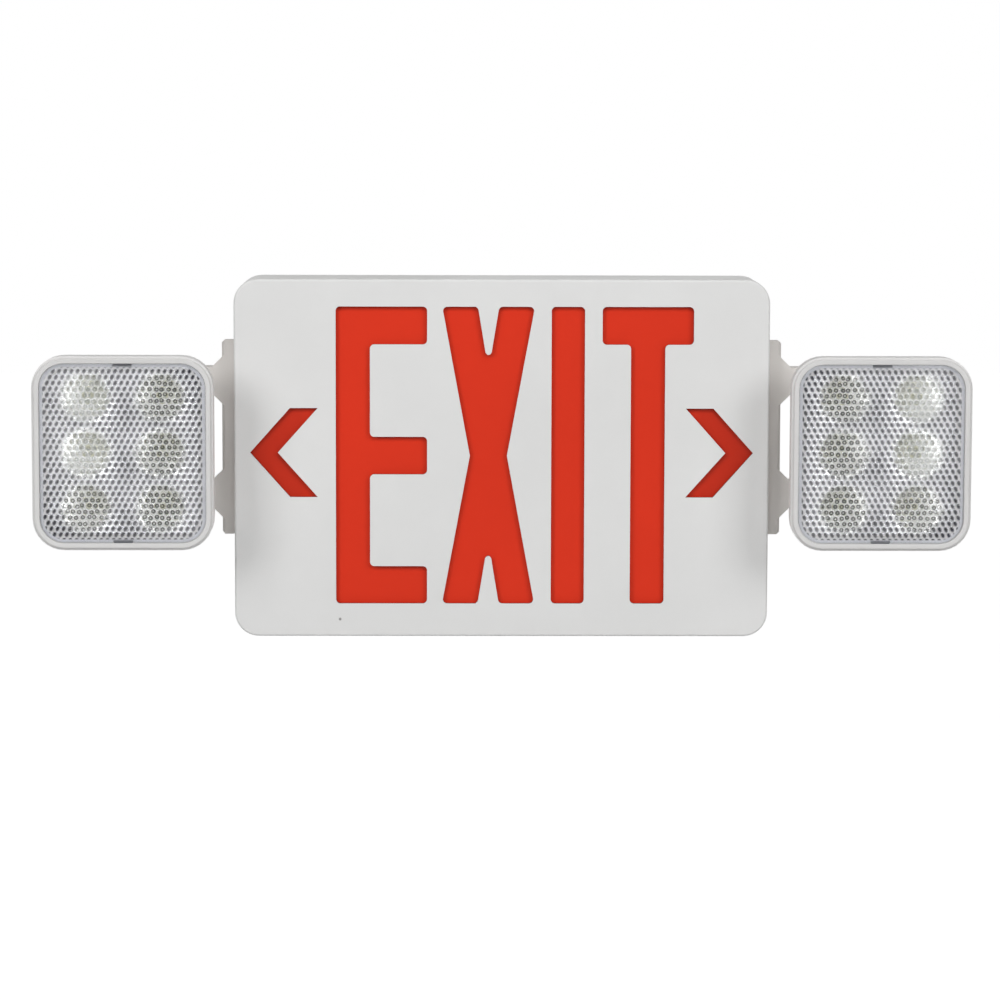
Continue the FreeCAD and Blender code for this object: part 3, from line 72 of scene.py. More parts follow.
class Slot(Enum):
    """The record's material slots."""

    WHITE_PLASTIC = "white_plastic"
    RED_PANEL = "red_panel"
    CLEAR_LENS = "clear_lens"
    BRIGHT_REFLECTOR = "bright_reflector"
    CIRCUIT_BOARD = "circuit_board"
    WHITE_BOARD = "white_board"
    CORE_STEEL = "core_steel"
    BLACK_PLASTIC = "black_plastic"
    GREEN_PLASTIC = "green_plastic"
    CREAM_PLASTIC = "cream_plastic"
    PLATED_STEEL = "plated_steel"
    BATTERY_SLEEVE = "battery_sleeve"
    BUTTON_RED = "button_red"
    INDICATOR_GREEN = "indicator_green"
    LED_RESIN = "led_resin"
    LEAD_INSULATION = "lead_insulation"
    NYLON = "nylon"


@dataclass(frozen=True)
class LensPlan:
    """Sizes that the lens, its tint and the reflector behind it share."""

    rim: float = 1.7 * MM
    corner: float = 13.2 * MM
    tab_half: float = 5 * MM
    tab_reach: float = 1.2 * MM
    cell_across: float = 3.38 * MM
    cell_up: float = 3.2 * MM
    cup_radius: float = 13 * MM
    cup_across: float = 20.35 * MM
    cup_up: float = 30.4 * MM


LENS = LensPlan()


def display(red: int, green: int, blue: int) -> Colour:
    """Turns a display colour of 0 to 255 into the linear colour that shaders take.

    Args:
        red: Red, from 0 to 255.
        green: Green, from 0 to 255.
        blue: Blue, from 0 to 255.

    Returns:
        The linear colour with full alpha.
    """
    parts = [level / 255 for level in (red, green, blue)]
    curved = [c / 12.92 if c <= 0.04045 else ((c + 0.055) / 1.055) ** 2.4 for c in parts]
    return (curved[0], curved[1], curved[2], 1.0)


class Wiring:
    """Adds and links the nodes of one node tree."""

    def __init__(self, tree: bpy.types.NodeTree) -> None:
        """Keeps the tree that the nodes go into."""
        self.tree = tree

    def add(
        self, kind: str, inputs: dict[str | int, object] | None = None, **settings: object
    ) -> bpy.types.Node:
        """Makes one node.

        Args:
            kind: The node's Blender class name.
            inputs: Values or source sockets, by input name or index.
            **settings: The node's own properties.

        Returns:
            The new node.
        """
        node = self.tree.nodes.new(kind)
        for name, setting in settings.items():
            setattr(node, name, setting)
        for name, source in (inputs or {}).items():
            if isinstance(source, bpy.types.NodeSocket):
                self.tree.links.new(source, node.inputs[name])
            else:
                node.inputs[name].default_value = source
        return node

    def maths(self, operation: str, first: object, second: object = 0.0, clamp: bool = False) -> Socket:
        """Adds a Math node and returns its result."""
        given = {0: first, 1: second}
        return self.add("ShaderNodeMath", given, operation=operation, use_clamp=clamp).outputs[0]

    def plus(self, first: object, second: object, clamp: bool = False) -> Socket:
        """The sum of two values."""
        return self.maths("ADD", first, second, clamp)

    def minus(self, first: object, second: object) -> Socket:
        """The first value less the second."""
        return self.maths("SUBTRACT", first, second)

    def times(self, first: object, second: object) -> Socket:
        """The product of two values."""
        return self.maths("MULTIPLY", first, second)

    def over(self, first: object, second: object) -> Socket:
        """The first value divided by the second."""
        return self.maths("DIVIDE", first, second)

    def most(self, first: object, second: object) -> Socket:
        """The larger of two values."""
        return self.maths("MAXIMUM", first, second)

    def unsigned(self, value: object) -> Socket:
        """A value without its sign."""
        return self.maths("ABSOLUTE", value)

    def squares(self, first: object, second: object) -> Socket:
        """The sum of two squares."""
        return self.plus(self.times(first, first), self.times(second, second))

    def length(self, first: object, second: object) -> Socket:
        """The length of a flat vector."""
        return self.maths("SQRT", self.squares(first, second))

    def spread(self, value: object, low: float, high: float, to_low: float, to_high: float) -> Socket:
        """Maps a range onto another and holds its ends, and returns the result."""
        return self.add("ShaderNodeMapRange", {0: value, 1: low, 2: high, 3: to_low, 4: to_high}).outputs[0]

    def rise(self, value: object, low: float, high: float) -> Socket:
        """A mask that goes from 0 at the low value to 1 at the high one."""
        return self.spread(value, low, high, 0.0, 1.0)

    def fall(self, value: object, low: float, high: float) -> Socket:
        """A mask that goes from 1 at the low value to 0 at the high one."""
        return self.spread(value, low, high, 1.0, 0.0)

    def blend(self, share: object, first: object, second: object) -> Socket:
        """The mix of two colours, by the second one's share."""
        return self.add("ShaderNodeMix", {0: share, 6: first, 7: second}, data_type="RGBA").outputs[2]

    def scaled(self, colour: object, value: object) -> Socket:
        """A colour with its brightness scaled."""
        return self.add("ShaderNodeHueSaturation", {"Color": colour, "Value": value}).outputs[0]

    def place(self) -> Socket:
        """The place on the piece, in metres."""
        return self.add("ShaderNodeTexCoord").outputs["Object"]

    def parts(self, vector: Socket) -> bpy.types.bpy_prop_collection:
        """The three parts of a vector."""
        return self.add("ShaderNodeSeparateXYZ", {0: vector}).outputs

    def join(self, *parts: object) -> Socket:
        """The vector with the given parts."""
        return self.add("ShaderNodeCombineXYZ", dict(enumerate(parts))).outputs[0]

    def noise(self, place: Socket, scale: object, **more: float) -> Socket:
        """Cloudy noise at a place, with more of the node's inputs by name."""
        return self.add("ShaderNodeTexNoise", {"Vector": place, "Scale": scale, **more}).outputs[0]

    def seen(self) -> Socket:
        """The mask of rays that come from the camera, off a gloss or through glass."""
        path = self.add("ShaderNodeLightPath").outputs
        return self.most(self.most(path["Is Camera Ray"], path["Is Glossy Ray"]), path["Is Transmission Ray"])


class Group(Wiring):
    """A shader node group under construction."""

    def __init__(self, name: str, given: dict[str, float | Colour], results: tuple[str, ...]) -> None:
        """Makes the group and its sockets.

        Args:
            name: The group's name.
            given: Its inputs with their starting values.
            results: The names of its outputs, of which Colour is a colour and the rest are numbers.
        """
        super().__init__(bpy.data.node_groups.new(name, "ShaderNodeTree"))
        for label, start in given.items():
            kind = "NodeSocketColor" if isinstance(start, tuple) else "NodeSocketFloat"
            self.tree.interface.new_socket(label, in_out="INPUT", socket_type=kind).default_value = start
        for label in results:
            kind = "NodeSocketColor" if label == "Colour" else "NodeSocketFloat"
            self.tree.interface.new_socket(label, in_out="OUTPUT", socket_type=kind)
        self.given = self.add("NodeGroupInput").outputs
        self.results = self.add("NodeGroupOutput").inputs

    def give(self, **sources: Socket) -> bpy.types.NodeTree:
        """Links each named result to its source.

        Args:
            **sources: The sources by the results' names.

        Returns:
            The finished group.
        """
        for label, source in sources.items():
            self.tree.links.new(source, self.results[label])
        return self.tree


class PrismShadePainting(Group):
    """Painted shade and highlights of a prismatic lens, over its reflector and cups, and its pale rim."""

    # Painted shade and highlights: each cell gets a dark leaning streak and a bright glint.
    SHADE_STREAK = ((0.1, 0.1), 20.0, 0.47, 0.28)
    PAINTED_GLINT = ((-0.26, -0.22), 20.0, 0.4, 0.24)
    CELL_WHITE = (0.95, 0.955, 1.0, 1.0)
    SHADE_STREAK_BLACK = (0.002, 0.002, 0.005, 1.0)
    JITTER = 0.17
    RING_RADIUS = 0.26
    # Painted shade: the dark ring in each cell over a cup.
    RING_SHADE_BLACK = (0.014, 0.016, 0.013, 1.0)
    RING_FIELD = (1.0, 1.0, 0.98, 1.0)
    MIDDLE_GREY = (0.3, 0.32, 0.29, 1.0)
    MIDDLE_WHITE = (0.95, 0.97, 0.92, 1.0)
    # Painted highlight: the pale wash over the outer, upper part of a cup.
    CUP_PAINTED_GLINT = (0.93, 0.95, 0.92, 1.0)
    RIM_BLUE = (0.86, 0.89, 0.97, 1.0)
    # Painted shadow: the dark line round the rim and at the snap tabs.
    EDGE_SHADOW_BLACK = (0.03, 0.035, 0.05, 1.0)

    def __init__(self) -> None:
        """Makes the group, and finds where a point lies on the lens and in its cell."""
        given = {
            "Middle Across": 0.2,
            "Middle Up": 0.0,
            "Pitch Across": 0.003,
            "Pitch Up": 0.003,
            "Cup Across": 0.02,
            "Cup Up": 0.03,
            "Cup Radius": 0.013,
            "Half Width": 0.042,
            "Half Height": 0.045,
            "Corner": 0.01,
            "Front": -0.08,
        }
        super().__init__("painted_prism_shade", given, ("Colour",))
        place = self.parts(self.place())
        self.across = self.minus(self.unsigned(place[0]), self.given["Middle Across"])
        self.up = self.minus(place[2], self.given["Middle Up"])
        self.depth = self.minus(place[1], self.given["Front"])
        rows = self.over(self.up, self.given["Pitch Up"])
        row = self.maths("ROUND", rows)
        stagger = self.times(self.maths("FLOORED_MODULO", row, 2.0), 0.5)
        columns = self.minus(self.over(self.across, self.given["Pitch Across"]), stagger)
        column = self.maths("ROUND", columns)
        self.in_cell = (self.minus(columns, column), self.minus(rows, row))
        cell = {"Vector": self.join(column, row)}
        chance = self.add("ShaderNodeTexWhiteNoise", cell, noise_dimensions="2D")
        self.chances = self.parts(chance.outputs["Color"])

    def from_point(
        self, point: tuple[object, object], lean: float = 0.0, long: float = 1.0, thin: float = 1.0
    ) -> Socket:
        """The squared distance from a point of the cell, in the axes of a leaning ellipse.

        Args:
            point: The ellipse's middle, in cells.
            lean: How far its long axis leans, in degrees.
            long: Half of its length, in cells.
            thin: Half of its width, in cells.

        Returns:
            The squared distance, which is 1 on the ellipse.
        """
        aside = self.minus(self.in_cell[0], point[0])
        above = self.minus(self.in_cell[1], point[1])
        sine, cosine = math.sin(math.radians(lean)), math.cos(math.radians(lean))
        along = self.plus(self.times(aside, -sine / long), self.times(above, cosine / long))
        athwart = self.plus(self.times(aside, cosine / thin), self.times(above, sine / thin))
        return self.squares(along, athwart)

    def painted_streaks(self) -> Socket:
        """The colour over the flat reflector: a painted shade streak that leans in each cell, and a painted
        glint.
        """
        corners = self.unsigned(self.over(self.minus(self.up, self.across), self.given["Half Height"]))
        # Painted shade: a dark streak in each cell, a little deeper towards two opposite corners.
        streak_shade = self.fall(self.from_point(*self.SHADE_STREAK), 0.5, 1.75)
        streak_shade = self.times(streak_shade, self.spread(corners, 0.5, 1.7, 0.93, 1.0))
        # Painted highlight: a glint in each cell.
        glint_mask = self.fall(self.from_point(*self.PAINTED_GLINT), 0.3, 1.4)
        return self.blend(streak_shade, self.blend(glint_mask, self.CELL_WHITE, WHITE), self.SHADE_STREAK_BLACK)

    def rings(self) -> Socket:
        """The colour over a cup: a painted shade ring in each cell, and a painted highlight high on the outer
        side.
        """
        jitter = [self.spread(self.chances[axis], 0.0, 1.0, -self.JITTER, self.JITTER) for axis in (0, 1)]
        radius = self.maths("SQRT", self.from_point((jitter[0], jitter[1])))
        # Painted shade: a dark ring in each cell.
        dark = self.fall(self.unsigned(self.minus(radius, self.RING_RADIUS)), 0.05, 0.16)
        middle = self.fall(self.from_point((0.0, 0.0)), 0.06, 0.14)
        # Painted reflection: each cell's middle grey or white at random.
        inside = self.blend(self.chances[2], self.MIDDLE_GREY, self.MIDDLE_WHITE)
        ringed = self.blend(dark, self.blend(middle, self.RING_FIELD, inside), self.RING_SHADE_BLACK)
        # Painted highlight: the pale wash high on the cup's outer side.
        outer = self.spread(self.across, -0.018, 0.018, 0.0, 0.6)
        upper = self.spread(self.up, -0.026, -0.008, 0.1, 1.0)
        return self.blend(self.times(outer, upper), ringed, self.CUP_PAINTED_GLINT)

    def over_cup(self) -> Socket:
        """The mask of the cups, uneven from cell to cell at its edge."""
        cup_up = self.given["Cup Up"]
        aside = self.minus(self.unsigned(self.across), self.given["Cup Across"])
        nearest = self.most(self.maths("ROUND", self.over(self.up, cup_up)), -1.0)
        above = self.minus(self.up, self.times(self.maths("MINIMUM", nearest, 1.0), cup_up))
        reach = self.over(self.length(aside, above), self.given["Cup Radius"])
        reach = self.plus(reach, self.spread(self.chances[1], 0.0, 1.0, -0.07, 0.07))
        return self.fall(reach, 0.72, 1.16)

    def past_outline(self) -> Socket:
        """How far a point lies past the rounded outline of the patterned area."""
        corner = self.given["Corner"]
        beyond = [
            self.most(self.minus(self.unsigned(spot), self.minus(self.given[half], corner)), 0.0)
            for spot, half in ((self.across, "Half Width"), (self.up, "Half Height"))
        ]
        return self.minus(self.length(*beyond), corner)

    def painted_edge_shadow(self, past: Socket) -> Socket:
        """The mask of the painted shadow line round the rim and of the painted shadow of the snap tabs.

        Args:
            past: How far a point lies past the outline.

        Returns:
            The mask.
        """
        # Painted shadow, deepest where the rim faces outward and down.
        slope = self.plus(self.times(self.across, 0.55), self.times(self.up, -0.85))
        shaded = self.spread(slope, -0.01, 0.04, 0.2, 1.0)
        line = self.times(self.rise(past, 1.3 * MM, 1.8 * MM), shaded)
        tab = self.fall(self.unsigned(self.across), LENS.tab_half + 0.2 * MM, LENS.tab_half + 0.6 * MM)
        return self.most(line, self.times(tab, self.spread(past, 0.0, 0.7 * MM, 0.0, 0.86)))

    def finished(self) -> bpy.types.NodeTree:
        """Lays the painted shade, the painted highlights and the rim tint over each other and returns the
        group.
        """
        past = self.past_outline()
        shown = self.blend(self.over_cup(), self.painted_streaks(), self.rings())
        shown = self.blend(self.rise(past, -0.2 * MM, 0.2 * MM), shown, self.RIM_BLUE)
        shown = self.blend(self.painted_edge_shadow(past), shown, self.EDGE_SHADOW_BLACK)
        return self.give(Colour=self.blend(self.rise(self.depth, 1 * MM, 1.2 * MM), shown, WHITE))


class Effects:
    """Shader node groups that several finishes share, each made once."""

    RESULTS = ("Colour", "Roughness", "Height")
    DUST = (0.62, 0.61, 0.58, 1.0)
    PAD_METAL = (0.55, 0.56, 0.55, 1.0)

    @staticmethod
    @cache
    def moulded_skin() -> bpy.types.NodeTree:
        """The skin of moulded plastic: fine spark grain, faint flow mottle and dust on faces that look up."""
        given = {"Colour": GREY, "Grain Scale": 2600.0, "Mottle Scale": 14.0, "Tone": 0.04, "Roughness": 0.45}
        skin = Group("moulded_skin", given, Effects.RESULTS)
        place = skin.place()
        grain = skin.noise(place, skin.given["Grain Scale"], Detail=3.0, Roughness=0.6)
        mottle = skin.noise(place, skin.given["Mottle Scale"], Detail=4.0, Roughness=0.55)
        tone = skin.times(skin.rise(mottle, 0.3, 0.7), skin.given["Tone"])
        shade = skin.scaled(skin.given["Colour"], skin.minus(1.0, tone))
        up = skin.parts(skin.add("ShaderNodeTexCoord").outputs["Normal"])[2]
        dust = skin.times(skin.spread(up, 0.6, 1.0, 0.0, 0.12), skin.spread(mottle, 0.35, 0.75, 0.2, 1.0))
        rough = skin.plus(skin.given["Roughness"], skin.spread(grain, 0.25, 0.75, -0.06, 0.06), clamp=True)
        colour = skin.blend(dust, shade, Effects.DUST)
        return skin.give(Colour=colour, Roughness=skin.plus(rough, dust, clamp=True), Height=grain)

    @staticmethod
    @cache
    def fine_marks() -> bpy.types.NodeTree:
        """Fine handling marks and cloudiness on bright metal and gloss plastic."""
        given = {"Colour": GREY, "Scale": 240.0, "Stretch": 8.0, "Roughness": 0.2, "Amount": 0.1}
        marks = Group("fine_marks", given, Effects.RESULTS)
        place = marks.place()
        split = marks.parts(place)
        longer = marks.join(split[0], split[1], marks.times(split[2], marks.given["Stretch"]))
        lines = marks.noise(longer, marks.given["Scale"], Detail=5.0, Roughness=0.65)
        cloud = marks.noise(place, 35.0, Detail=3.0)
        change = marks.times(marks.spread(lines, 0.3, 0.7, -1.0, 1.0), marks.given["Amount"])
        cloudy = marks.times(marks.rise(cloud, 0.3, 0.7), marks.given["Amount"])
        colour = marks.scaled(marks.given["Colour"], marks.minus(1.0, cloudy))
        rough = marks.plus(marks.given["Roughness"], change, clamp=True)
        return marks.give(Colour=colour, Roughness=rough, Height=lines)

    @staticmethod
    @cache
    def board_print() -> bpy.types.NodeTree:
        """Copper tracks and plated pads that show through a board's solder mask."""
        given = {"Mask": (0.03, 0.2, 0.08, 1.0), "Track": (0.07, 0.32, 0.13, 1.0), "Scale": 130.0}
        board = Group("board_print", given, Effects.RESULTS)
        split = board.parts(board.place())
        cell = {"Vector": board.join(split[0], split[2]), "Scale": board.given["Scale"], "Randomness": 0.55}
        away = board.add("ShaderNodeTexVoronoi", cell, distance="CHEBYCHEV").outputs["Distance"]
        track = board.rise(away, 0.36, 0.38)
        pad = board.fall(away, 0.1, 0.12)
        masked = board.blend(track, board.given["Mask"], board.given["Track"])
        return board.give(
            Colour=board.blend(pad, masked, Effects.PAD_METAL),
            Roughness=board.spread(pad, 0.0, 1.0, 0.34, 0.22),
            Height=board.most(track, pad),
        )

    @staticmethod
    @cache
    def painted_prism_shade() -> bpy.types.NodeTree:
        """The painted shade and highlights of the lens's prism cells."""
        return PrismShadePainting().finished()


class Surface(Wiring):
    """A new material, with the inputs of its Principled BSDF."""

    def __init__(self, name: str) -> None:
        """Makes a node material under the given name."""
        self.material = bpy.data.materials.new(name)
        self.material.use_nodes = True
        super().__init__(self.material.node_tree)
        self.shader = next(node for node in self.tree.nodes if node.type == "BSDF_PRINCIPLED").inputs

    @property
    def colour(self) -> Socket:
        """The source of the base colour."""
        return self.shader["Base Color"].links[0].from_socket

    def feed(self, label: str, source: Socket) -> None:
        """Links something that changes over the surface to one of the shader's inputs."""
        self.tree.links.new(source, self.shader[label])

    def fix(self, plain: dict[str, float | Colour]) -> None:
        """Sets shader inputs that are the same all over the surface."""
        for label, value in plain.items():
            self.shader[label].default_value = value

    def wear(self, effect: bpy.types.NodeTree, given: dict[str, object], depth: float = 0.0) -> None:
        """Takes the base colour, the roughness and the relief from a shared effect.

        Args:
            effect: The effect's node group.
            given: The group's own values in this material, by input name.
            depth: The relief's depth, or 0 for a smooth surface.
        """
        made = self.add("ShaderNodeGroup", given, node_tree=effect).outputs
        self.feed("Base Color", made["Colour"])
        self.feed("Roughness", made["Roughness"])
        if depth > 0:
            bump = self.add("ShaderNodeBump", {"Height": made["Height"], "Strength": 1.0, "Distance": depth})
            self.feed("Normal", bump.outputs[0])


class Finish:
    """A surface finish that pieces can be given."""

    def dress(self, surface: Surface) -> None:
        """Wires the finish into a new material."""
        raise NotImplementedError

    def material(self, name: str) -> bpy.types.Material:
        """Makes a material of this finish.

        Args:
            name: The material's name.

        Returns:
            The new material.
        """
        surface = Surface(name)
        self.dress(surface)
        return surface.material


@dataclass(frozen=True)
class MouldedPlastic(Finish):
    """Opaque moulded plastic with a spark grain."""

    colour: Colour
    roughness: float = 0.45
    grain_depth: float = 0.02 * MM
    mottle_scale: float = 14.0
    tone: float = 0.04
    coat: float = 0.0

    def dress(self, surface: Surface) -> None:
        """Wires the plastic into a material.

        Args:
            surface: The new material.
        """
        given = {
            "Colour": self.colour,
            "Mottle Scale": self.mottle_scale,
            "Tone": self.tone,
            "Roughness": self.roughness,
        }
        surface.wear(Effects.moulded_skin(), given, self.grain_depth)
        surface.fix({"Coat Weight": self.coat})


@dataclass(frozen=True)
class SignPanel(MouldedPlastic):
    """The tinted panel behind the legend, with painted shade that darkens it towards its ends."""

    gloss: float = 0.25
    end_shade: float = 0.77
    unshaded_half: float = 103 * MM
    shaded_half: float = 112 * MM

    def dress(self, surface: Surface) -> None:
        """Wires the panel into a material.

        Args:
            surface: The new material.
        """
        super().dress(surface)
        surface.fix({"Specular IOR Level": self.gloss})
        across = surface.unsigned(surface.parts(surface.place())[0])
        # Painted shade: the panel darkens towards both ends.
        tone = surface.spread(across, self.unshaded_half, self.shaded_half, 1.0, self.end_shade)
        surface.feed("Base Color", surface.scaled(surface.colour, tone))


@dataclass(frozen=True)
class CoverPlastic(MouldedPlastic):
    """White moulded cover with a small speck on its face and painted dark red shade on the legend's cut
    edges.
    """

    speck: Point = (-90.2 * MM, -90.3 * MM)
    speck_radius: float = 0.8 * MM
    speck_colour: Colour = display(96, 92, 88)
    cut_shade_colour: Colour = display(92, 18, 14)
    legend_half: Point = (144 * MM, 90 * MM)

    def painted_cut_shade(self, surface: Surface) -> Socket:
        """The mask of the painted shade on the legend's cut edges, just behind the front.

        Args:
            surface: The new material.

        Returns:
            The mask.
        """
        place = surface.parts(surface.place())
        mask = surface.rise(surface.minus(place[1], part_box("faceplate")[0].y), 0.08 * MM, 0.16 * MM)
        for axis, half in zip((0, 2), self.legend_half):
            mask = surface.times(mask, surface.fall(surface.unsigned(place[axis]), half, half + 0.1 * MM))
        return mask

    def dirt(self, surface: Surface) -> Socket:
        """The mask of the speck, which has an uneven outline.

        Args:
            surface: The new material.

        Returns:
            The mask.
        """
        place = surface.place()
        middle = (self.speck[0], 0.0, self.speck[1])
        flat = surface.add("ShaderNodeVectorMath", {0: place, 1: (1.0, 0.0, 1.0)}, operation="MULTIPLY")
        spot = surface.add("ShaderNodeVectorMath", {0: flat.outputs[0], 1: middle}, operation="DISTANCE")
        away = surface.over(spot.outputs["Value"], self.speck_radius)
        wobble = surface.times(surface.noise(place, 900.0), 0.8)
        return surface.spread(surface.plus(away, wobble), 0.9, 1.6, 0.75, 0.0)

    def dress(self, surface: Surface) -> None:
        """Wires the cover into a material.

        Args:
            surface: The new material.
        """
        super().dress(surface)
        specked = surface.blend(self.dirt(surface), surface.colour, self.speck_colour)
        # Painted shade: the legend's cut edges go dark red.
        surface.feed("Base Color", surface.blend(self.painted_cut_shade(surface), specked, self.cut_shade_colour))


@dataclass(frozen=True)
class BrightMetal(Finish):
    """Plated or metallised surface with fine marks."""

    colour: Colour
    roughness: float = 0.2
    marks: float = 0.08
    scale: float = 240.0
    stretch: float = 8.0
    depth: float = 0.01 * MM

    def dress(self, surface: Surface) -> None:
        """Wires the metal into a material.

        Args:
            surface: The new material.
        """
        given = {
            "Colour": self.colour,
            "Scale": self.scale,
            "Stretch": self.stretch,
            "Roughness": self.roughness,
            "Amount": self.marks,
        }
        surface.wear(Effects.fine_marks(), given, self.depth)
        surface.fix({"Metallic": 1.0})


@dataclass(frozen=True)
class PrintedBoard(Finish):
    """A circuit board under its solder mask."""

    mask: Colour
    track: Colour
    scale: float = 130.0
    depth: float = 0.03 * MM

    def dress(self, surface: Surface) -> None:
        """Wires the board into a material."""
        given = {"Mask": self.mask, "Track": self.track, "Scale": self.scale}
        surface.wear(Effects.board_print(), given, self.depth)


@dataclass(frozen=True)
class ClearPlastic(Finish):
    """Clear moulded polycarbonate."""

    colour: Colour
    roughness: float = 0.03
    ior: float = 1.5
    scale: float = 120.0
    marks: float = 0.02

    def dress(self, surface: Surface) -> None:
        """Wires the clear plastic into a material.

        Args:
            surface: The new material.
        """
        given = {
            "Colour": self.colour,
            "Scale": self.scale,
            "Stretch": 1.0,
            "Roughness": self.roughness,
            "Amount": self.marks,
        }
        surface.wear(Effects.fine_marks(), given)
        surface.fix({"Transmission Weight": 1.0, "IOR": self.ior})


@dataclass(frozen=True)
class PrismPlastic(Finish):
    """Clear plastic moulded with prism cells, with their shade and highlights painted on as streaks and
    rings.
    """

    plan: LensPlan
    roughness: float = 0.06
    ior: float = 1.46

    def dress(self, surface: Surface) -> None:
        """Wires the prismatic plastic into a material.

        Args:
            surface: The new material.
        """
        low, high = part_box("lens_right")
        plan = self.plan
        given = {
            "Middle Across": (low.x + high.x) / 2,
            "Middle Up": (low.z + high.z) / 2,
            "Pitch Across": plan.cell_across,
            "Pitch Up": plan.cell_up,
            "Cup Across": plan.cup_across,
            "Cup Up": plan.cup_up,
            "Cup Radius": plan.cup_radius,
            "Half Width": (high.x - low.x) / 2 - plan.rim,
            "Half Height": (high.z - low.z) / 2 - plan.tab_reach - plan.rim,
            "Corner": plan.corner - plan.rim,
            "Front": low.y,
        }
        # The lens's painted shade and highlights.
        cells = surface.add("ShaderNodeGroup", given, node_tree=Effects.painted_prism_shade())
        surface.feed("Base Color", cells.outputs["Colour"])
        surface.fix({"Roughness": self.roughness, "Transmission Weight": 1.0, "IOR": self.ior})


FINISHES = {
    Slot.WHITE_PLASTIC: MouldedPlastic(display(236, 236, 235), roughness=0.5),
    Slot.RED_PANEL: SignPanel(
        display(231, 53, 24), roughness=0.4, grain_depth=0.005 * MM, mottle_scale=9.0, tone=0.07
    ),
    Slot.CLEAR_LENS: ClearPlastic(display(244, 247, 255)),
    Slot.BRIGHT_REFLECTOR: BrightMetal(display(250, 250, 251), roughness=0.28, marks=0.05, stretch=1.0),
    Slot.CIRCUIT_BOARD: PrintedBoard(display(18, 92, 48), display(34, 122, 66)),
    Slot.WHITE_BOARD: PrintedBoard(display(226, 226, 220), display(206, 208, 202), scale=90.0),
    Slot.CORE_STEEL: BrightMetal(display(86, 84, 82), roughness=0.42, marks=0.15, scale=500.0, stretch=18.0),
    Slot.BLACK_PLASTIC: MouldedPlastic(display(34, 34, 36), roughness=0.42, tone=0.15),
    Slot.GREEN_PLASTIC: MouldedPlastic(display(48, 142, 84), roughness=0.4, tone=0.08),
    Slot.CREAM_PLASTIC: MouldedPlastic(display(226, 220, 200), roughness=0.45, tone=0.06),
    Slot.PLATED_STEEL: BrightMetal(display(196, 197, 192), roughness=0.3, marks=0.12),
    Slot.BATTERY_SLEEVE: MouldedPlastic(display(62, 120, 178), roughness=0.28, tone=0.1, coat=0.4),
    Slot.BUTTON_RED: MouldedPlastic(display(200, 38, 32), roughness=0.3, tone=0.05, coat=0.3),
    Slot.INDICATOR_GREEN: MouldedPlastic(display(70, 176, 84), roughness=0.14, tone=0.05, coat=0.8),
    Slot.LED_RESIN: MouldedPlastic(
        display(228, 226, 202), roughness=0.2, tone=0.08, mottle_scale=300.0, coat=0.5
    ),
    Slot.LEAD_INSULATION: MouldedPlastic(display(176, 40, 34), roughness=0.38, tone=0.1),
    Slot.NYLON: MouldedPlastic(display(226, 224, 214), roughness=0.42, tone=0.05),
}
COVER_PLASTIC = CoverPlastic(display(236, 236, 235), roughness=0.5)
# Painted shade: the heads and yokes take darker copies of the white plastic, the yokes a darker and warmer
# one.
HEAD_SHADE_PLASTIC = MouldedPlastic(display(227, 226, 225), roughness=0.52, mottle_scale=22.0)
YOKE_SHADE_PLASTIC = MouldedPlastic(display(219, 215, 211), roughness=0.55, mottle_scale=22.0)


def rounded_outline(width: float, height: float, radius: float, steps: int = 8) -> list[Point]:
    """Points of a rounded rectangle about the origin, anticlockwise seen from the front.

    Args:
        width: Full width.
        height: Full height.
        radius: Corner radius.
        steps: Segments in each corner.

    Returns:
        The outline's points as (across, up).
    """
    points = []
    for quarter, (side, rise) in enumerate(((1, 1), (-1, 1), (-1, -1), (1, -1))):
        middle = (side * (width / 2 - radius), rise * (height / 2 - radius))
        for step in range(steps + 1):
            turn = math.radians(90 * (quarter + step / steps))
            points.append((middle[0] + radius * math.cos(turn), middle[1] + radius * math.sin(turn)))
    return points


def tabbed_outline(width: float, height: float, radius: float, half: float, reach: float) -> list[Point]:
    """Points of a rounded rectangle whose top and bottom stand out over a short run in the middle.

    Args:
        width: Full width.
        height: Full height without the tabs.
        radius: Corner radius.
        half: Half of a tab's width.
        reach: How far a tab stands out.

    Returns:
        The outline's points as (across, up).
    """
    points = rounded_outline(width, height, radius)
    quarter = len(points) // 4
    high = height / 2
    tab = [(half, high), (half, high + reach), (-half, high + reach), (-half, high)]
    under = [(-x, -z) for x, z in tab]
    return points[:quarter] + tab + points[quarter:3 * quarter] + under + points[3 * quarter:]


def finish_mesh(
    name: str, mesh: bmesh.types.BMesh, material: bpy.types.Material, smooth: float | None = 35.0
) -> bpy.types.Object:
    """Turns a bmesh into an object of the scene with one material.

    Args:
        name: The piece's name.
        mesh: The mesh, which is freed.
        material: The piece's material.
        smooth: The sharpest angle in degrees that is shaded smooth, or None for flat shading.

    Returns:
        The new object.
    """
    bmesh.ops.recalc_face_normals(mesh, faces=mesh.faces)
    if smooth is not None:
        for face in mesh.faces:
            face.smooth = True
        for edge in mesh.edges:
            if len(edge.link_faces) == 2 and edge.calc_face_angle(0.0) > math.radians(smooth):
                edge.smooth = False
    data = bpy.data.meshes.new(name)
    mesh.to_mesh(data)
    mesh.free()
    piece = bpy.data.objects.new(name, data)
    bpy.context.scene.collection.objects.link(piece)
    data.materials.append(material)
    return piece


def even_shading(piece: bpy.types.Object) -> None:
    """Weights a piece's smooth normals by face area, so that its flat faces shade flat."""
    piece.modifiers.new("normals", "WEIGHTED_NORMAL").keep_sharp = True


def body_of(node: str) -> str:
    """The body that carries a CAD node."""
    bodies = frame["record"]["behaviour"]["bodies"]
    return next(body for body, members in bodies.items() if node in members)


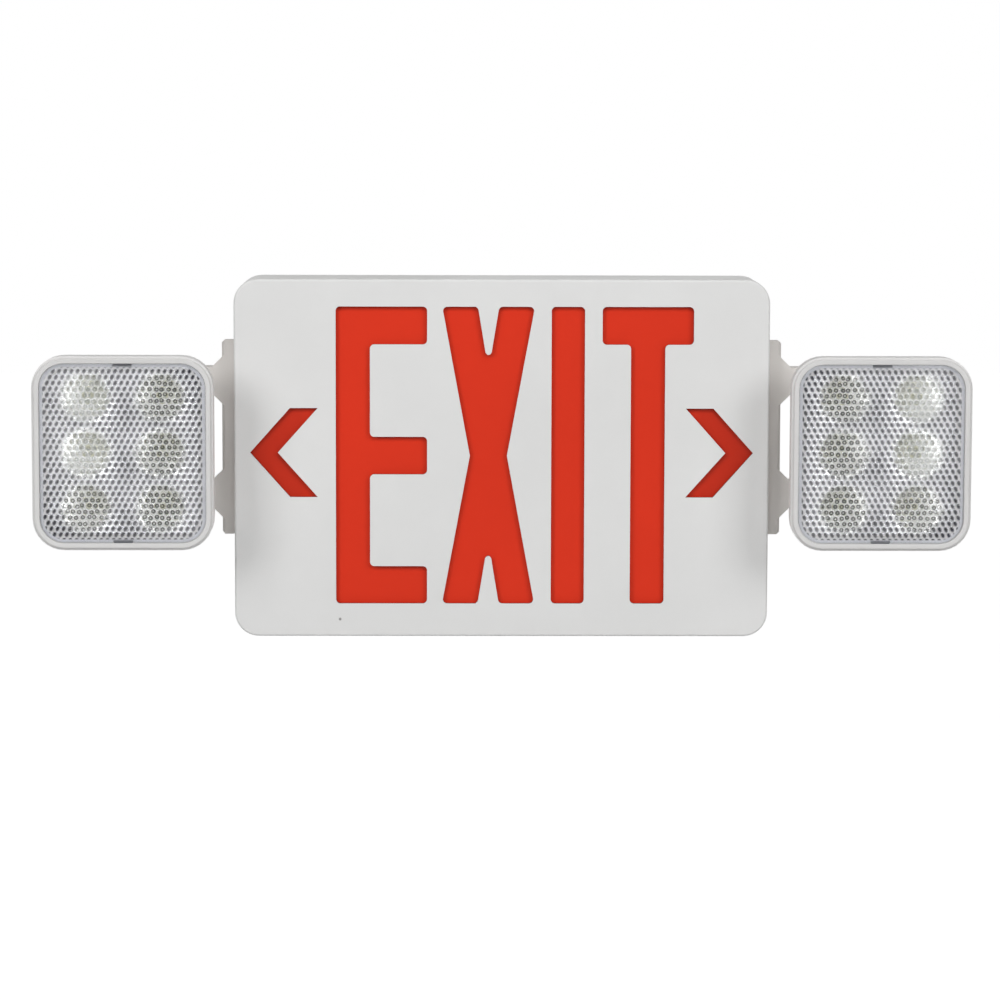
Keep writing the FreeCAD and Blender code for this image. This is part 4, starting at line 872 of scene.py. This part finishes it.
def slot_of(node: str) -> Slot:
    """The material slot that the record gives a CAD node."""
    return next(Slot(part["material_slot"]) for part in frame["record"]["subparts"] if part["node"] == node)


def stand_for(piece: bpy.types.Object, node: str) -> None:
    """Makes a piece ride with a CAD node's body and be shown in its place.

    Args:
        piece: The piece.
        node: The CAD node.
    """
    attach(piece, body_of(node))
    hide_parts(node)
    LOG.info("%s stands for %s", piece.name, node)


def node_mesh(node: str) -> bmesh.types.BMesh:
    """Copies a CAD node's surface, with the points of neighbouring facets joined.

    Args:
        node: The CAD node.

    Returns:
        The copy.
    """
    mesh = bmesh.new()
    mesh.from_mesh(frame["nodes"][node].data)
    bmesh.ops.remove_doubles(mesh, verts=mesh.verts, dist=TOUCHING)
    return mesh


def islands(node: str) -> list[tuple[Vector, Vector]]:
    """Finds the loose solids of a CAD node.

    Args:
        node: The CAD node.

    Returns:
        The lowest and highest corner of each solid, in a fixed order.
    """
    mesh = node_mesh(node)
    left = set(mesh.verts)
    boxes = []
    while left:
        reached = [min(left, key=lambda vertex: vertex.index)]
        left.discard(reached[0])
        for vertex in reached:
            for edge in vertex.link_edges:
                other = edge.other_vert(vertex)
                if other in left:
                    left.discard(other)
                    reached.append(other)
        low = Vector([min(vertex.co[axis] for vertex in reached) for axis in range(3)])
        high = Vector([max(vertex.co[axis] for vertex in reached) for axis in range(3)])
        boxes.append((low, high))
    mesh.free()
    return boxes


class Maker:
    """Builds one closed mesh from loops of points."""

    def __init__(self) -> None:
        """Starts an empty mesh."""
        self.mesh = bmesh.new()

    def loop(self, points: list[Place]) -> Loop:
        """Adds the vertices of one loop."""
        return [self.mesh.verts.new(point) for point in points]

    def upright(self, outline: list[Point], middle: Point, depth: float) -> Loop:
        """Adds an outline as a loop that faces along Y.

        Args:
            outline: Its points as (across, up).
            middle: The outline's middle as (x, z).
            depth: Its y.

        Returns:
            The loop's vertices.
        """
        return self.loop([(middle[0] + x, depth, middle[1] + z) for x, z in outline])

    def ring(self, middle: Point, radius: float, depth: float, steps: int) -> Loop:
        """Adds a round loop that faces along Y.

        Args:
            middle: The ring's middle as (x, z).
            radius: Its radius.
            depth: Its y.
            steps: Number of points.

        Returns:
            The ring's vertices.
        """
        turns = [2 * math.pi * step / steps for step in range(steps)]
        outline = [(radius * math.cos(turn), radius * math.sin(turn)) for turn in turns]
        return self.upright(outline, middle, depth)

    def bands(self, loops: list[Loop]) -> None:
        """Joins each loop to the next with a band of faces.

        Args:
            loops: Two or more loops of the same length.
        """
        for first, second in zip(loops, loops[1:]):
            for index in range(len(first)):
                after = (index + 1) % len(first)
                self.mesh.faces.new((first[index], first[after], second[after], second[index]))

    def cap(self, loop: Loop) -> None:
        """Closes a loop with one face."""
        self.mesh.faces.new(loop)

    def fan(self, loop: Loop, tip: Place) -> None:
        """Closes a loop with triangles that meet at a tip.

        Args:
            loop: The loop.
            tip: The tip's place.
        """
        point = self.mesh.verts.new(tip)
        for index, vertex in enumerate(loop):
            self.mesh.faces.new((vertex, loop[(index + 1) % len(loop)], point))

    def fill(self, *loops: Loop, rims: tuple[bmesh.types.BMEdge, ...] = ()) -> None:
        """Fills the flat area between an outer loop and the loops inside it.

        Args:
            *loops: The loops.
            rims: Edges inside them that bound the area too.
        """
        edges = list(rims)
        for loop in loops:
            for index, vertex in enumerate(loop):
                pair = (vertex, loop[(index + 1) % len(loop)])
                edges.append(self.mesh.edges.get(pair) or self.mesh.edges.new(pair))
        bmesh.ops.triangle_fill(self.mesh, use_beauty=True, use_dissolve=False, edges=edges)


class Palette:
    """The part's materials: one for each slot, and some pieces' own."""

    def __init__(self) -> None:
        """Makes every finish's material."""
        self.by_slot = {slot: finish.material(slot.value) for slot, finish in FINISHES.items()}
        cover = COVER_PLASTIC.material("cover_plastic")
        # Painted shade: darker copies of the white plastic for the heads and the yokes.
        head = HEAD_SHADE_PLASTIC.material("head_shade_plastic")
        yoke = YOKE_SHADE_PLASTIC.material("yoke_shade_plastic")
        prisms = PrismPlastic(LENS).material("painted_shade_prisms")
        self.own = {
            "faceplate": cover,
            "bezel": head,
            "rear_shell": head,
            "yoke": yoke,
            "swivel_nut": yoke,
            "lens": prisms,
        }

    def of_piece(self, node: str) -> bpy.types.Material:
        """The material of the piece that stands for a node: its own, or that of the node's slot."""
        own = (material for start, material in self.own.items() if node.startswith(start))
        return next(own, self.by_slot[slot_of(node)])

    def dress_nodes(self) -> None:
        """Gives every CAD node the material of the slot that the record names for it."""
        for subpart in frame["record"]["subparts"]:
            materials = frame["nodes"][subpart["node"]].data.materials
            materials.clear()
            materials.append(self.by_slot[Slot(subpart["material_slot"])])


@dataclass
class LegendCut:
    """The cut-out legend of the cover: how wide and deep the X is cut and how high the chevrons stand."""

    level: float = 1.7 * MM
    x_middle: float = -7 * MM
    x_half: float = 27 * MM
    x_tall: float = 82 * MM
    x_spare: float = 1 * MM
    x_aside: float = -0.45 * MM
    x_wider: float = 0.038
    notch_tip: float = 64.8 * MM
    notch_reach: float = 2.2 * MM
    notch_half: float = 2.6 * MM
    notch_deeper: float = 8.5 * MM
    notch_narrower: float = 0.75
    chevron_span: Point = (100 * MM, 143 * MM)
    chevron_half: float = 26 * MM
    chevron_lift: float = 1.6 * MM

    def settle(self, mesh: bmesh.types.BMesh) -> None:
        """Moves the walls of the cut-outs into place, front and back alike.

        Args:
            mesh: The cover's mesh.
        """
        nearest, furthest = self.chevron_span
        notch_end = self.notch_tip + self.notch_reach
        for vertex in mesh.verts:
            spot = vertex.co
            across = spot.x - self.x_middle
            above = spot.z - self.level
            if abs(across) < self.x_half and abs(above) < self.x_tall + self.x_spare:
                if abs(across) < self.notch_half and self.notch_tip <= abs(above) < notch_end:
                    across *= self.notch_narrower
                    spot.z -= math.copysign(self.notch_deeper, above)
                wider = 1 + self.x_wider * abs(above) / self.x_tall
                spot.x = self.x_middle + self.x_aside + across * wider
            elif nearest < abs(spot.x) < furthest and abs(above) < self.chevron_half:
                spot.z += self.chevron_lift


@dataclass
class SoftEdges:
    """Moulded and pressed pieces whose corners are eased, as the tool leaves them."""

    cover: float = 0.35 * MM
    box: float = 0.3 * MM
    button: float = 0.4 * MM
    yoke: float = 0.6 * MM
    rear_shell: float = 0.8 * MM
    swivel_nut: float = 0.5 * MM
    sharpest: float = 28.0
    shaded_smooth: float = 50.0
    flat_within: float = 0.3
    smallest: float = 0.0005 * MM

    def widths(self) -> dict[str, float]:
        """How wide the rounding of each piece is, by CAD node."""
        pairs = {"yoke": self.yoke, "rear_shell": self.rear_shell, "swivel_nut": self.swivel_nut}
        return {
            "faceplate": self.cover,
            "housing": self.box,
            "back_plate": self.box,
            "test_button": self.button,
            **{f"{kind}_{side.value}": width for kind, width in pairs.items() for side in Side},
        }

    def ease(self, node: str, width: float, material: bpy.types.Material) -> None:
        """Copies a node's surface and rounds its sharp edges.

        Args:
            node: The CAD node.
            width: How wide the rounding is.
            material: The piece's material.
        """
        mesh = node_mesh(node)
        if node == "faceplate":
            LegendCut().settle(mesh)
        bmesh.ops.dissolve_limit(
            mesh,
            angle_limit=math.radians(self.flat_within),
            use_dissolve_boundaries=False,
            verts=mesh.verts,
            edges=mesh.edges,
        )
        least = math.radians(self.sharpest)
        shared = [edge for edge in mesh.edges if len(edge.link_faces) == 2]
        sharp = [edge for edge in shared if edge.calc_face_angle(0.0) > least]
        bmesh.ops.bevel(
            mesh,
            geom=sharp,
            offset=width,
            offset_type="OFFSET",
            segments=2,
            profile=0.5,
            affect="EDGES",
            clamp_overlap=True,
        )
        bmesh.ops.remove_doubles(mesh, verts=mesh.verts, dist=self.smallest)
        piece = finish_mesh(f"eased_{node}", mesh, material, self.shaded_smooth)
        even_shading(piece)
        stand_for(piece, node)

    def build(self, palette: Palette) -> None:
        """Builds every eased piece."""
        for node, width in self.widths().items():
            self.ease(node, width, palette.of_piece(node))


@dataclass
class LampHead:
    """One lamp head: its bezel, prismatic lens, metallised reflector and LEDs."""

    side: Side
    plan: LensPlan = LENS
    edge: float = 0.3 * MM
    bezel_corner: float = 17.5 * MM
    bezel_round: float = 1.5 * MM
    bezel_lip: float = 1.2 * MM
    bezel_seat: float = 3.5 * MM
    bezel_ledge_back: float = 5 * MM
    bezel_wall: float = 2 * MM
    bezel_rim: float = 4 * MM
    bezel_ledge: float = 8.3 * MM
    notch: float = 1.5 * MM
    notch_air: float = 0.3 * MM
    lens_bevel: float = 0.5 * MM
    lens_air: float = 0.15 * MM
    cell_rise: float = 0.45 * MM
    cell_fade: float = 1.2 * MM
    cell_merge: float = 0.01 * MM
    cell_rings: tuple[Point, ...] = ((1.0, 0.0), (0.93, 0.0), (0.76, 0.46), (0.45, 0.84))
    plate: float = 1.6 * MM
    plate_corner: float = 15.2 * MM
    cup_throat: float = 4 * MM
    cup_wall: float = 1 * MM
    cup_steps: int = 12
    cup_sides: int = 40
    mouth_flare: float = 0.5 * MM
    mouth_ease: float = 0.15 * MM
    root_flare: float = 0.6 * MM
    led_half: float = 1.75 * MM
    led_step: float = 0.25 * MM
    led_dome: float = 1.4 * MM
    led_sides: int = 20

    def node(self, kind: str) -> str:
        """The name of one of this head's nodes."""
        return f"{kind}_{self.side.value}"

    def place_of(self, kind: str) -> tuple[Vector, Vector, Point]:
        """Measures one of this head's nodes.

        Args:
            kind: The node's name without the side.

        Returns:
            Its lowest corner, its highest corner and its middle as (x, z).
        """
        low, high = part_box(self.node(kind))
        middle = (low + high) / 2
        return low, high, (middle.x, middle.z)

    def cell_height(self, across: float, up: float, width: float, height: float) -> float:
        """How high a prism cell stands, from nothing at the patterned area's edge.

        Args:
            across: How far the cell lies to the side of the area's middle.
            up: How far it lies above it.
            width: Width of the area.
            height: Height of the area.

        Returns:
            The height.
        """
        inside = min(width / 2 - abs(across), height / 2 - abs(up))
        corner = self.plan.corner - self.plan.rim
        over = (abs(across) - width / 2 + corner, abs(up) - height / 2 + corner)
        if over[0] > 0 and over[1] > 0:
            inside = min(inside, corner - math.hypot(*over))
        return self.cell_rise * max(0.0, min(1.0, inside / self.cell_fade))

    def prism_field(self, maker: Maker, width: float, height: float) -> None:
        """Fills the patterned area with six-sided domes and trims them at its outline.

        Args:
            maker: The mesh that gets the domes, about the origin with their base on y = 0.
            width: Width of the patterned area.
            height: Height of the patterned area.
        """
        half, pitch = self.plan.cell_across / 2, self.plan.cell_up
        point = (half * half + pitch * pitch) / (2 * pitch)
        shoulder = pitch - point
        flank = [(0, point), (-half, shoulder), (-half, -shoulder)]
        shape = flank + [(0, -point), (half, -shoulder), (half, shoulder)]
        rows = int(height / 2 / pitch) + 1
        columns = int(width / 2 / self.plan.cell_across) + 1
        for row in range(-rows, rows + 1):
            for column in range(-columns, columns + 1):
                middle = ((column + (row % 2) / 2) * self.plan.cell_across, row * pitch)
                rise = self.cell_height(*middle, width, height)
                loops = []
                for share, lift in self.cell_rings:
                    outline = [(share * x, share * z) for x, z in shape]
                    loops.append(maker.upright(outline, middle, -lift * rise))
                maker.bands(loops)
                maker.fan(loops[-1], (middle[0], -rise, middle[1]))
        self.trim(maker.mesh, rounded_outline(width, height, self.plan.corner - self.plan.rim, 6))

    def trim(self, mesh: bmesh.types.BMesh, outline: list[Point]) -> None:
        """Cuts a field of domes off at an outline and lays its cut edge flat.

        Args:
            mesh: The domes' mesh.
            outline: The outline, anticlockwise.
        """
        bmesh.ops.remove_doubles(mesh, verts=mesh.verts, dist=self.cell_merge)
        for index, start in enumerate(outline):
            end = outline[(index + 1) % len(outline)]
            outward = Vector((end[1] - start[1], 0, start[0] - end[0]))
            if outward.length >= TOUCHING:
                every = mesh.verts[:] + mesh.edges[:] + mesh.faces[:]
                corner = (start[0], 0, start[1])
                bmesh.ops.bisect_plane(mesh, geom=every, plane_co=corner, plane_no=outward, clear_outer=True)
        for vertex in {vertex for edge in mesh.edges if edge.is_boundary for vertex in edge.verts}:
            vertex.co.y = 0

    def build_lens(self, palette: Palette) -> None:
        """Builds the lens: a smooth clear rim round a field of domes, with its snap tabs.

        Args:
            palette: The materials.
        """
        low, high, middle = self.place_of("lens")
        plan = self.plan
        width, height = high.x - low.x, high.z - low.z - 2 * plan.tab_reach
        maker = Maker()
        self.prism_field(maker, width - 2 * plan.rim, height - 2 * plan.rim)
        rims = tuple(edge for edge in maker.mesh.edges if edge.is_boundary)
        loops = []
        bevel, back = self.lens_bevel, high.y - low.y - self.lens_air
        for inset, depth in ((bevel, 0.0), (0.0, bevel), (0.0, back)):
            inner = (width - 2 * inset, height - 2 * inset, plan.corner - inset)
            outline = tabbed_outline(*inner, plan.tab_half - inset, plan.tab_reach)
            loops.append(maker.upright(outline, (0.0, 0.0), depth))
        maker.fill(loops[0], rims=rims)
        maker.bands(loops)
        maker.cap(loops[-1])
        bmesh.ops.translate(maker.mesh, verts=maker.mesh.verts, vec=(middle[0], low.y, middle[1]))
        node = self.node("lens")
        stand_for(finish_mesh(f"prism_{node}", maker.mesh, palette.of_piece(node), smooth=30.0), node)

    def bezel_profile(self, front: float, back: float) -> list[Place]:
        """The section of the bezel's frame, with a ledge for the lens and a notch for each snap tab.

        Args:
            front: The y of its front.
            back: The y of its back.

        Returns:
            The section's points as (inset from the outline, y, how far the notch reaches).
        """
        edge, rim, wall, ledge = self.edge, self.bezel_rim, self.bezel_wall, self.bezel_ledge
        lip, seat, ledge_back = front + self.bezel_lip, front + self.bezel_seat, front + self.bezel_ledge_back
        turns = [math.radians(turn) for turn in (0, 18, 36, 54, 72, 90)]
        radius = self.bezel_round
        rounding = [(radius * math.sin(turn), front + radius * math.cos(turn), 0.0) for turn in turns]
        return [
            (edge, back, 0.0),
            (0.0, back - edge, 0.0),
            *rounding,
            (rim - edge, front, 0.0),
            (rim, front + edge, 0.0),
            (rim, lip, 0.0),
            (rim, lip, self.notch),
            (rim, seat, self.notch),
            (ledge, seat, 0.0),
            (ledge, ledge_back, 0.0),
            (wall, ledge_back, 0.0),
            (wall, back - edge, 0.0),
            (wall - edge, back, 0.0),
        ]

    def build_bezel(self, palette: Palette) -> None:
        """Builds the bezel: a rounded frame round the lens.

        Args:
            palette: The materials.
        """
        low, high, middle = self.place_of("bezel")
        width, height = high.x - low.x, high.z - low.z
        half = self.plan.tab_half + self.notch_air
        maker = Maker()
        loops = []
        for inset, depth, reach in self.bezel_profile(low.y, high.y):
            inner = (width - 2 * inset, height - 2 * inset, self.bezel_corner - inset)
            loops.append(maker.upright(tabbed_outline(*inner, half, reach), middle, depth))
        maker.bands(loops + loops[:1])
        bmesh.ops.remove_doubles(maker.mesh, verts=maker.mesh.verts, dist=TOUCHING)
        node = self.node("bezel")
        piece = finish_mesh(f"rounded_{node}", maker.mesh, palette.of_piece(node), smooth=50.0)
        even_shading(piece)
        stand_for(piece, node)

    def cup_profile(self, front: float, back: float) -> list[Point]:
        """The parabola of a cup's bright side.

        Args:
            front: The y of its mouth.
            back: The y of its throat.

        Returns:
            The points from mouth to throat as (radius, y).
        """
        mouth, throat = self.plan.cup_radius, self.cup_throat
        bend = (mouth ** 2 - throat ** 2) / (back - front)
        radii = [mouth + (throat - mouth) * step / self.cup_steps for step in range(self.cup_steps + 1)]
        return [(radius, back - (radius ** 2 - throat ** 2) / bend) for radius in radii]

    def cups(self) -> list[Point]:
        """The middles of the six cups as (x, z)."""
        x, z = self.place_of("reflector")[2]
        return [(x + a * self.plan.cup_across, z + u * self.plan.cup_up) for a in (-1, 1) for u in (-1, 0, 1)]

    def build_reflector(self, palette: Palette) -> None:
        """Builds the reflector: a bright plate with six parabolic cups, open at their throats.

        Args:
            palette: The materials.
        """
        low, high, middle = self.place_of("reflector")
        width, height = high.x - low.x, high.z - low.z
        behind = low.y + self.plate
        maker = Maker()
        outside = []
        for inset, depth in ((self.edge, low.y), (0.0, low.y + self.edge), (0.0, behind)):
            outline = rounded_outline(width - 2 * inset, height - 2 * inset, self.plate_corner - inset)
            outside.append(maker.upright(outline, middle, depth))
        maker.bands(outside)
        bright = self.cup_profile(low.y, high.y)
        mouth = bright[0][0]
        lip = [(mouth + self.mouth_flare, low.y), (mouth + self.mouth_ease, low.y + self.mouth_ease)]
        covered = [(radius, depth) for radius, depth in reversed(bright) if depth > behind + self.cup_wall]
        dull = [(radius + self.cup_wall, depth) for radius, depth in covered]
        dull.append((dull[-1][0] + self.root_flare, behind))
        cup_side = lip + bright[1:] + dull
        mouths, roots = [], []
        for cup in self.cups():
            rings = [maker.ring(cup, radius, depth, self.cup_sides) for radius, depth in cup_side]
            maker.bands(rings)
            mouths.append(rings[0])
            roots.append(rings[-1])
        maker.fill(outside[0], *mouths)
        maker.fill(outside[-1], *roots)
        node = self.node("reflector")
        stand_for(finish_mesh(f"bright_{node}", maker.mesh, palette.of_piece(node), smooth=40.0), node)

    def build_leds(self, palette: Palette) -> None:
        """Builds the six LEDs: a square package with bevelled edges under a domed lens.

        Args:
            palette: The materials.
        """
        low, high, _ = self.place_of("lamp_leds")
        shelf = (low.y + high.y) / 2
        half, step = self.led_half, self.led_step
        maker = Maker()
        for cup in self.cups():
            loops = []
            for reach, depth in ((half, high.y), (half, shelf + step), (half - step, shelf)):
                corners = [(reach, reach), (-reach, reach), (-reach, -reach), (reach, -reach)]
                loops.append(maker.upright(corners, cup, depth))
            maker.cap(loops[0])
            maker.bands(loops)
            foot = maker.ring(cup, self.led_dome, shelf, self.led_sides)
            maker.fill(loops[-1], foot)
            dome = [foot]
            for turn in (math.radians(25), math.radians(50), math.radians(72)):
                depth = shelf + (low.y - shelf) * math.sin(turn)
                dome.append(maker.ring(cup, self.led_dome * math.cos(turn), depth, self.led_sides))
            maker.bands(dome)
            maker.fan(dome[-1], (cup[0], low.y, cup[1]))
        node = self.node("lamp_leds")
        stand_for(finish_mesh(f"domed_leds_{self.side.value}", maker.mesh, palette.of_piece(node)), node)

    def build(self, palette: Palette) -> None:
        """Builds the head's own pieces."""
        for make in (self.build_bezel, self.build_lens, self.build_reflector, self.build_leds):
            make(palette)


@dataclass
class Fasteners:
    """Pan-head screws with cross recesses, which stand for the plain ones of the frame."""

    rise: float = 2 * MM
    pivot_shank: float = 2 * MM
    pivot_tip: float = 10.4 * MM
    inner_shank: float = 1.5 * MM
    tip_share: float = 0.55
    point_share: float = 0.6
    shoulders: tuple[Point, ...] = ((1.0, 0.0), (1.0, 0.45), (0.9, 0.8))
    crown_share: float = 0.72
    cross_share: float = 0.86
    arm_share: float = 0.13
    floor_share: float = 0.6
    floor_rise: float = 0.3
    sides: int = 24

    def screw(
        self, maker: Maker, seat: Vector, axis: Vector, head: float, shank: float, length: float
    ) -> None:
        """Adds one screw.

        Args:
            maker: The mesh that gets it.
            seat: The middle of the face that the head sits on.
            axis: The direction that the head stands up in.
            head: The head's radius.
            shank: The shank's radius.
            length: The shank's length.
        """
        own = Maker()
        crown = head * self.crown_share
        profile = [(shank * self.tip_share, length), (shank, length - shank * self.point_share), (shank, 0.0)]
        profile += [(head * share, -lift * self.rise) for share, lift in self.shoulders]
        profile.append((crown, -self.rise))
        rings = [own.ring((0.0, 0.0), radius, depth, self.sides) for radius, depth in profile]
        own.bands(rings)
        own.cap(rings[0])
        reach, arm = crown * self.cross_share, head * self.arm_share
        cross, quarter = [], [(arm, arm), (arm, reach), (-arm, reach)]
        for _ in range(4):
            cross += quarter
            quarter = [(-z, x) for x, z in quarter]
        mouth = own.upright(cross, (0.0, 0.0), -self.rise)
        smaller = [(x * self.floor_share, z * self.floor_share) for x, z in cross]
        floor = own.upright(smaller, (0.0, 0.0), -self.rise * self.floor_rise)
        own.fill(rings[-1], mouth)
        own.bands([mouth, floor])
        own.cap(floor)
        turn = Vector((0, -1, 0)).rotation_difference(axis).to_matrix().to_4x4()
        bmesh.ops.transform(own.mesh, matrix=Matrix.Translation(seat) @ turn, verts=own.mesh.verts)
        data = bpy.data.meshes.new("one_screw")
        own.mesh.to_mesh(data)
        own.mesh.free()
        maker.mesh.from_mesh(data)
        bpy.data.meshes.remove(data)

    def build_pivots(self, node: str, palette: Palette) -> None:
        """Builds the two screws on which a lamp head turns.

        Args:
            node: The CAD node.
            palette: The materials.
        """
        low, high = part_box(node)
        middle = (low + high) / 2
        seat_height = (high.z - low.z) / 2 - self.rise
        maker = Maker()
        for way in (-1, 1):
            seat = Vector((middle.x, middle.y, middle.z + way * seat_height))
            axis, length = Vector((0, 0, way)), seat_height - self.pivot_tip
            self.screw(maker, seat, axis, (high.x - low.x) / 2, self.pivot_shank, length)
        stand_for(finish_mesh(f"cross_{node}", maker.mesh, palette.of_piece(node)), node)

    def build_facing(self, node: str, way: int, palette: Palette) -> None:
        """Builds a set of screws along Y, one for each loose solid of a node of plain ones.

        Args:
            node: The CAD node.
            way: 1 where the heads look backward and -1 where they look forward.
            palette: The materials.
        """
        maker = Maker()
        for low, high in islands(node):
            middle = (low + high) / 2
            seat = Vector((middle.x, high.y - self.rise if way > 0 else low.y + self.rise, middle.z))
            axis, length = Vector((0, way, 0)), high.y - low.y - self.rise
            self.screw(maker, seat, axis, (high.x - low.x) / 2, self.inner_shank, length)
        stand_for(finish_mesh(f"cross_{node}", maker.mesh, palette.of_piece(node)), node)

    def build(self, palette: Palette) -> None:
        """Builds every set of screws.

        Args:
            palette: The materials.
        """
        for side in Side:
            self.build_pivots(f"pivot_screws_{side.value}", palette)
        for node, way in (("board_screws", -1), ("strap_screws", -1), ("tray_screws", 1)):
            self.build_facing(node, way, palette)


@dataclass(frozen=True)
class Softbox:
    """One soft area lamp that faces the sign."""

    name: str
    place: Place
    size: Point
    power: float

    def hang(self, aim: Vector) -> None:
        """Adds the lamp to the scene.

        Args:
            aim: The place that it faces.
        """
        data = bpy.data.lights.new(self.name, "AREA")
        data.shape = "RECTANGLE"
        data.size, data.size_y = self.size
        data.energy = self.power
        lamp = bpy.data.objects.new(self.name, data)
        bpy.context.scene.collection.objects.link(lamp)
        lamp.location = self.place
        lamp.rotation_mode = "QUATERNION"
        lamp.rotation_quaternion = (aim - Vector(self.place)).to_track_quat("-Z", "Y")
        lamp.visible_camera = False


@dataclass
class Studio:
    """The camera, the soft lamps, the pale floor and the white background."""

    aim: Place = (0.0, -0.046, 0.0)
    distance: float = 1.94
    elevation: float = 5.9
    azimuth: float = -0.7
    roll: float = 0.15
    lens: float = 125.3
    sensor: float = 36
    shift: Point = (-0.0017, -0.0412)
    clip: Point = (0.05, 60)
    ambient: float = 0.12
    floor_drop: float = 0.9
    floor_reach: float = 12.0
    floor_glow: float = 0.86
    floor_scale: float = 1.5
    floor_pale: Colour = (0.82, 0.82, 0.82, 1.0)
    floor_roughness: float = 0.9
    softboxes: tuple[Softbox, ...] = (
        Softbox("left_softbox", (-1.25, -1.45, 0.8), (0.7, 0.9), 13.0),
        Softbox("right_softbox", (1.25, -1.45, 0.8), (0.7, 0.9), 12.0),
        Softbox("front_softbox", (0.0, -1.9, 1.8), (1.4, 0.8), 18.5),
        Softbox("back_softbox", (0.0, 2.1, -0.3), (1.8, 0.5), 15.0),
    )

    def camera(self) -> None:
        """Sets up the camera, level with the sign's face and a little above it."""
        data = bpy.data.cameras.new("camera")
        data.lens = self.lens
        data.sensor_width = self.sensor
        data.shift_x, data.shift_y = self.shift
        data.clip_start, data.clip_end = self.clip
        camera = bpy.data.objects.new("camera", data)
        bpy.context.scene.collection.objects.link(camera)
        rise = math.radians(self.elevation)
        turn = math.radians(self.azimuth)
        back = Vector((math.sin(turn) * math.cos(rise), -math.cos(turn) * math.cos(rise), math.sin(rise)))
        camera.location = Vector(self.aim) + back * self.distance
        camera.rotation_mode = "XYZ"
        camera.rotation_euler = (math.radians(90 - self.elevation), 0, turn)
        camera.rotation_euler.rotate_axis("Z", math.radians(self.roll))
        bpy.context.scene.camera = camera

    def background(self) -> None:
        """Makes the world white to the eye, to metal and to glass, and soft grey as light."""
        world = bpy.data.worlds.new("studio")
        world.use_nodes = True
        bpy.context.scene.world = world
        wires = Wiring(world.node_tree)
        wires.tree.nodes.clear()
        soft = wires.add("ShaderNodeBackground", {"Color": WHITE, "Strength": self.ambient})
        white = wires.add("ShaderNodeBackground", {"Color": WHITE, "Strength": 1.0})
        both = wires.add("ShaderNodeMixShader", {0: wires.seen(), 1: soft.outputs[0], 2: white.outputs[0]})
        wires.add("ShaderNodeOutputWorld", {0: both.outputs[0]})

    def floor(self) -> None:
        """Lays a plain pale floor well below the sign, bright to the camera and still taking a shadow."""
        reach = self.floor_reach
        mesh = bmesh.new()
        corners = ((-reach, -reach), (reach, -reach), (reach, reach), (-reach, reach))
        mesh.faces.new([mesh.verts.new((x, y, -self.floor_drop)) for x, y in corners])
        surface = Surface("pale_floor")
        cloud = surface.noise(surface.place(), self.floor_scale)
        surface.feed("Base Color", surface.blend(surface.rise(cloud, 0.3, 0.7), self.floor_pale, GREY))
        surface.feed("Emission Strength", surface.times(surface.seen(), self.floor_glow))
        surface.fix({"Roughness": self.floor_roughness, "Emission Color": WHITE})
        finish_mesh("floor", mesh, surface.material, smooth=None)

    def build(self) -> None:
        """Builds the whole studio."""
        self.camera()
        self.background()
        for softbox in self.softboxes:
            softbox.hang(Vector(self.aim))
        self.floor()
        bpy.context.scene.view_settings.view_transform = "Standard"


def main() -> None:
    """Dresses the sign, builds its shown pieces and sets up the studio."""
    logging.basicConfig(level=logging.INFO, format="%(name)s: %(message)s")
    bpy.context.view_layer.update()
    palette = Palette()
    palette.dress_nodes()
    LOG.info("finishes: %d", len(FINISHES))
    SoftEdges().build(palette)
    Fasteners().build(palette)
    for side in Side:
        LampHead(side).build(palette)
    Studio().build()


if __name__ == "__main__":
    main()
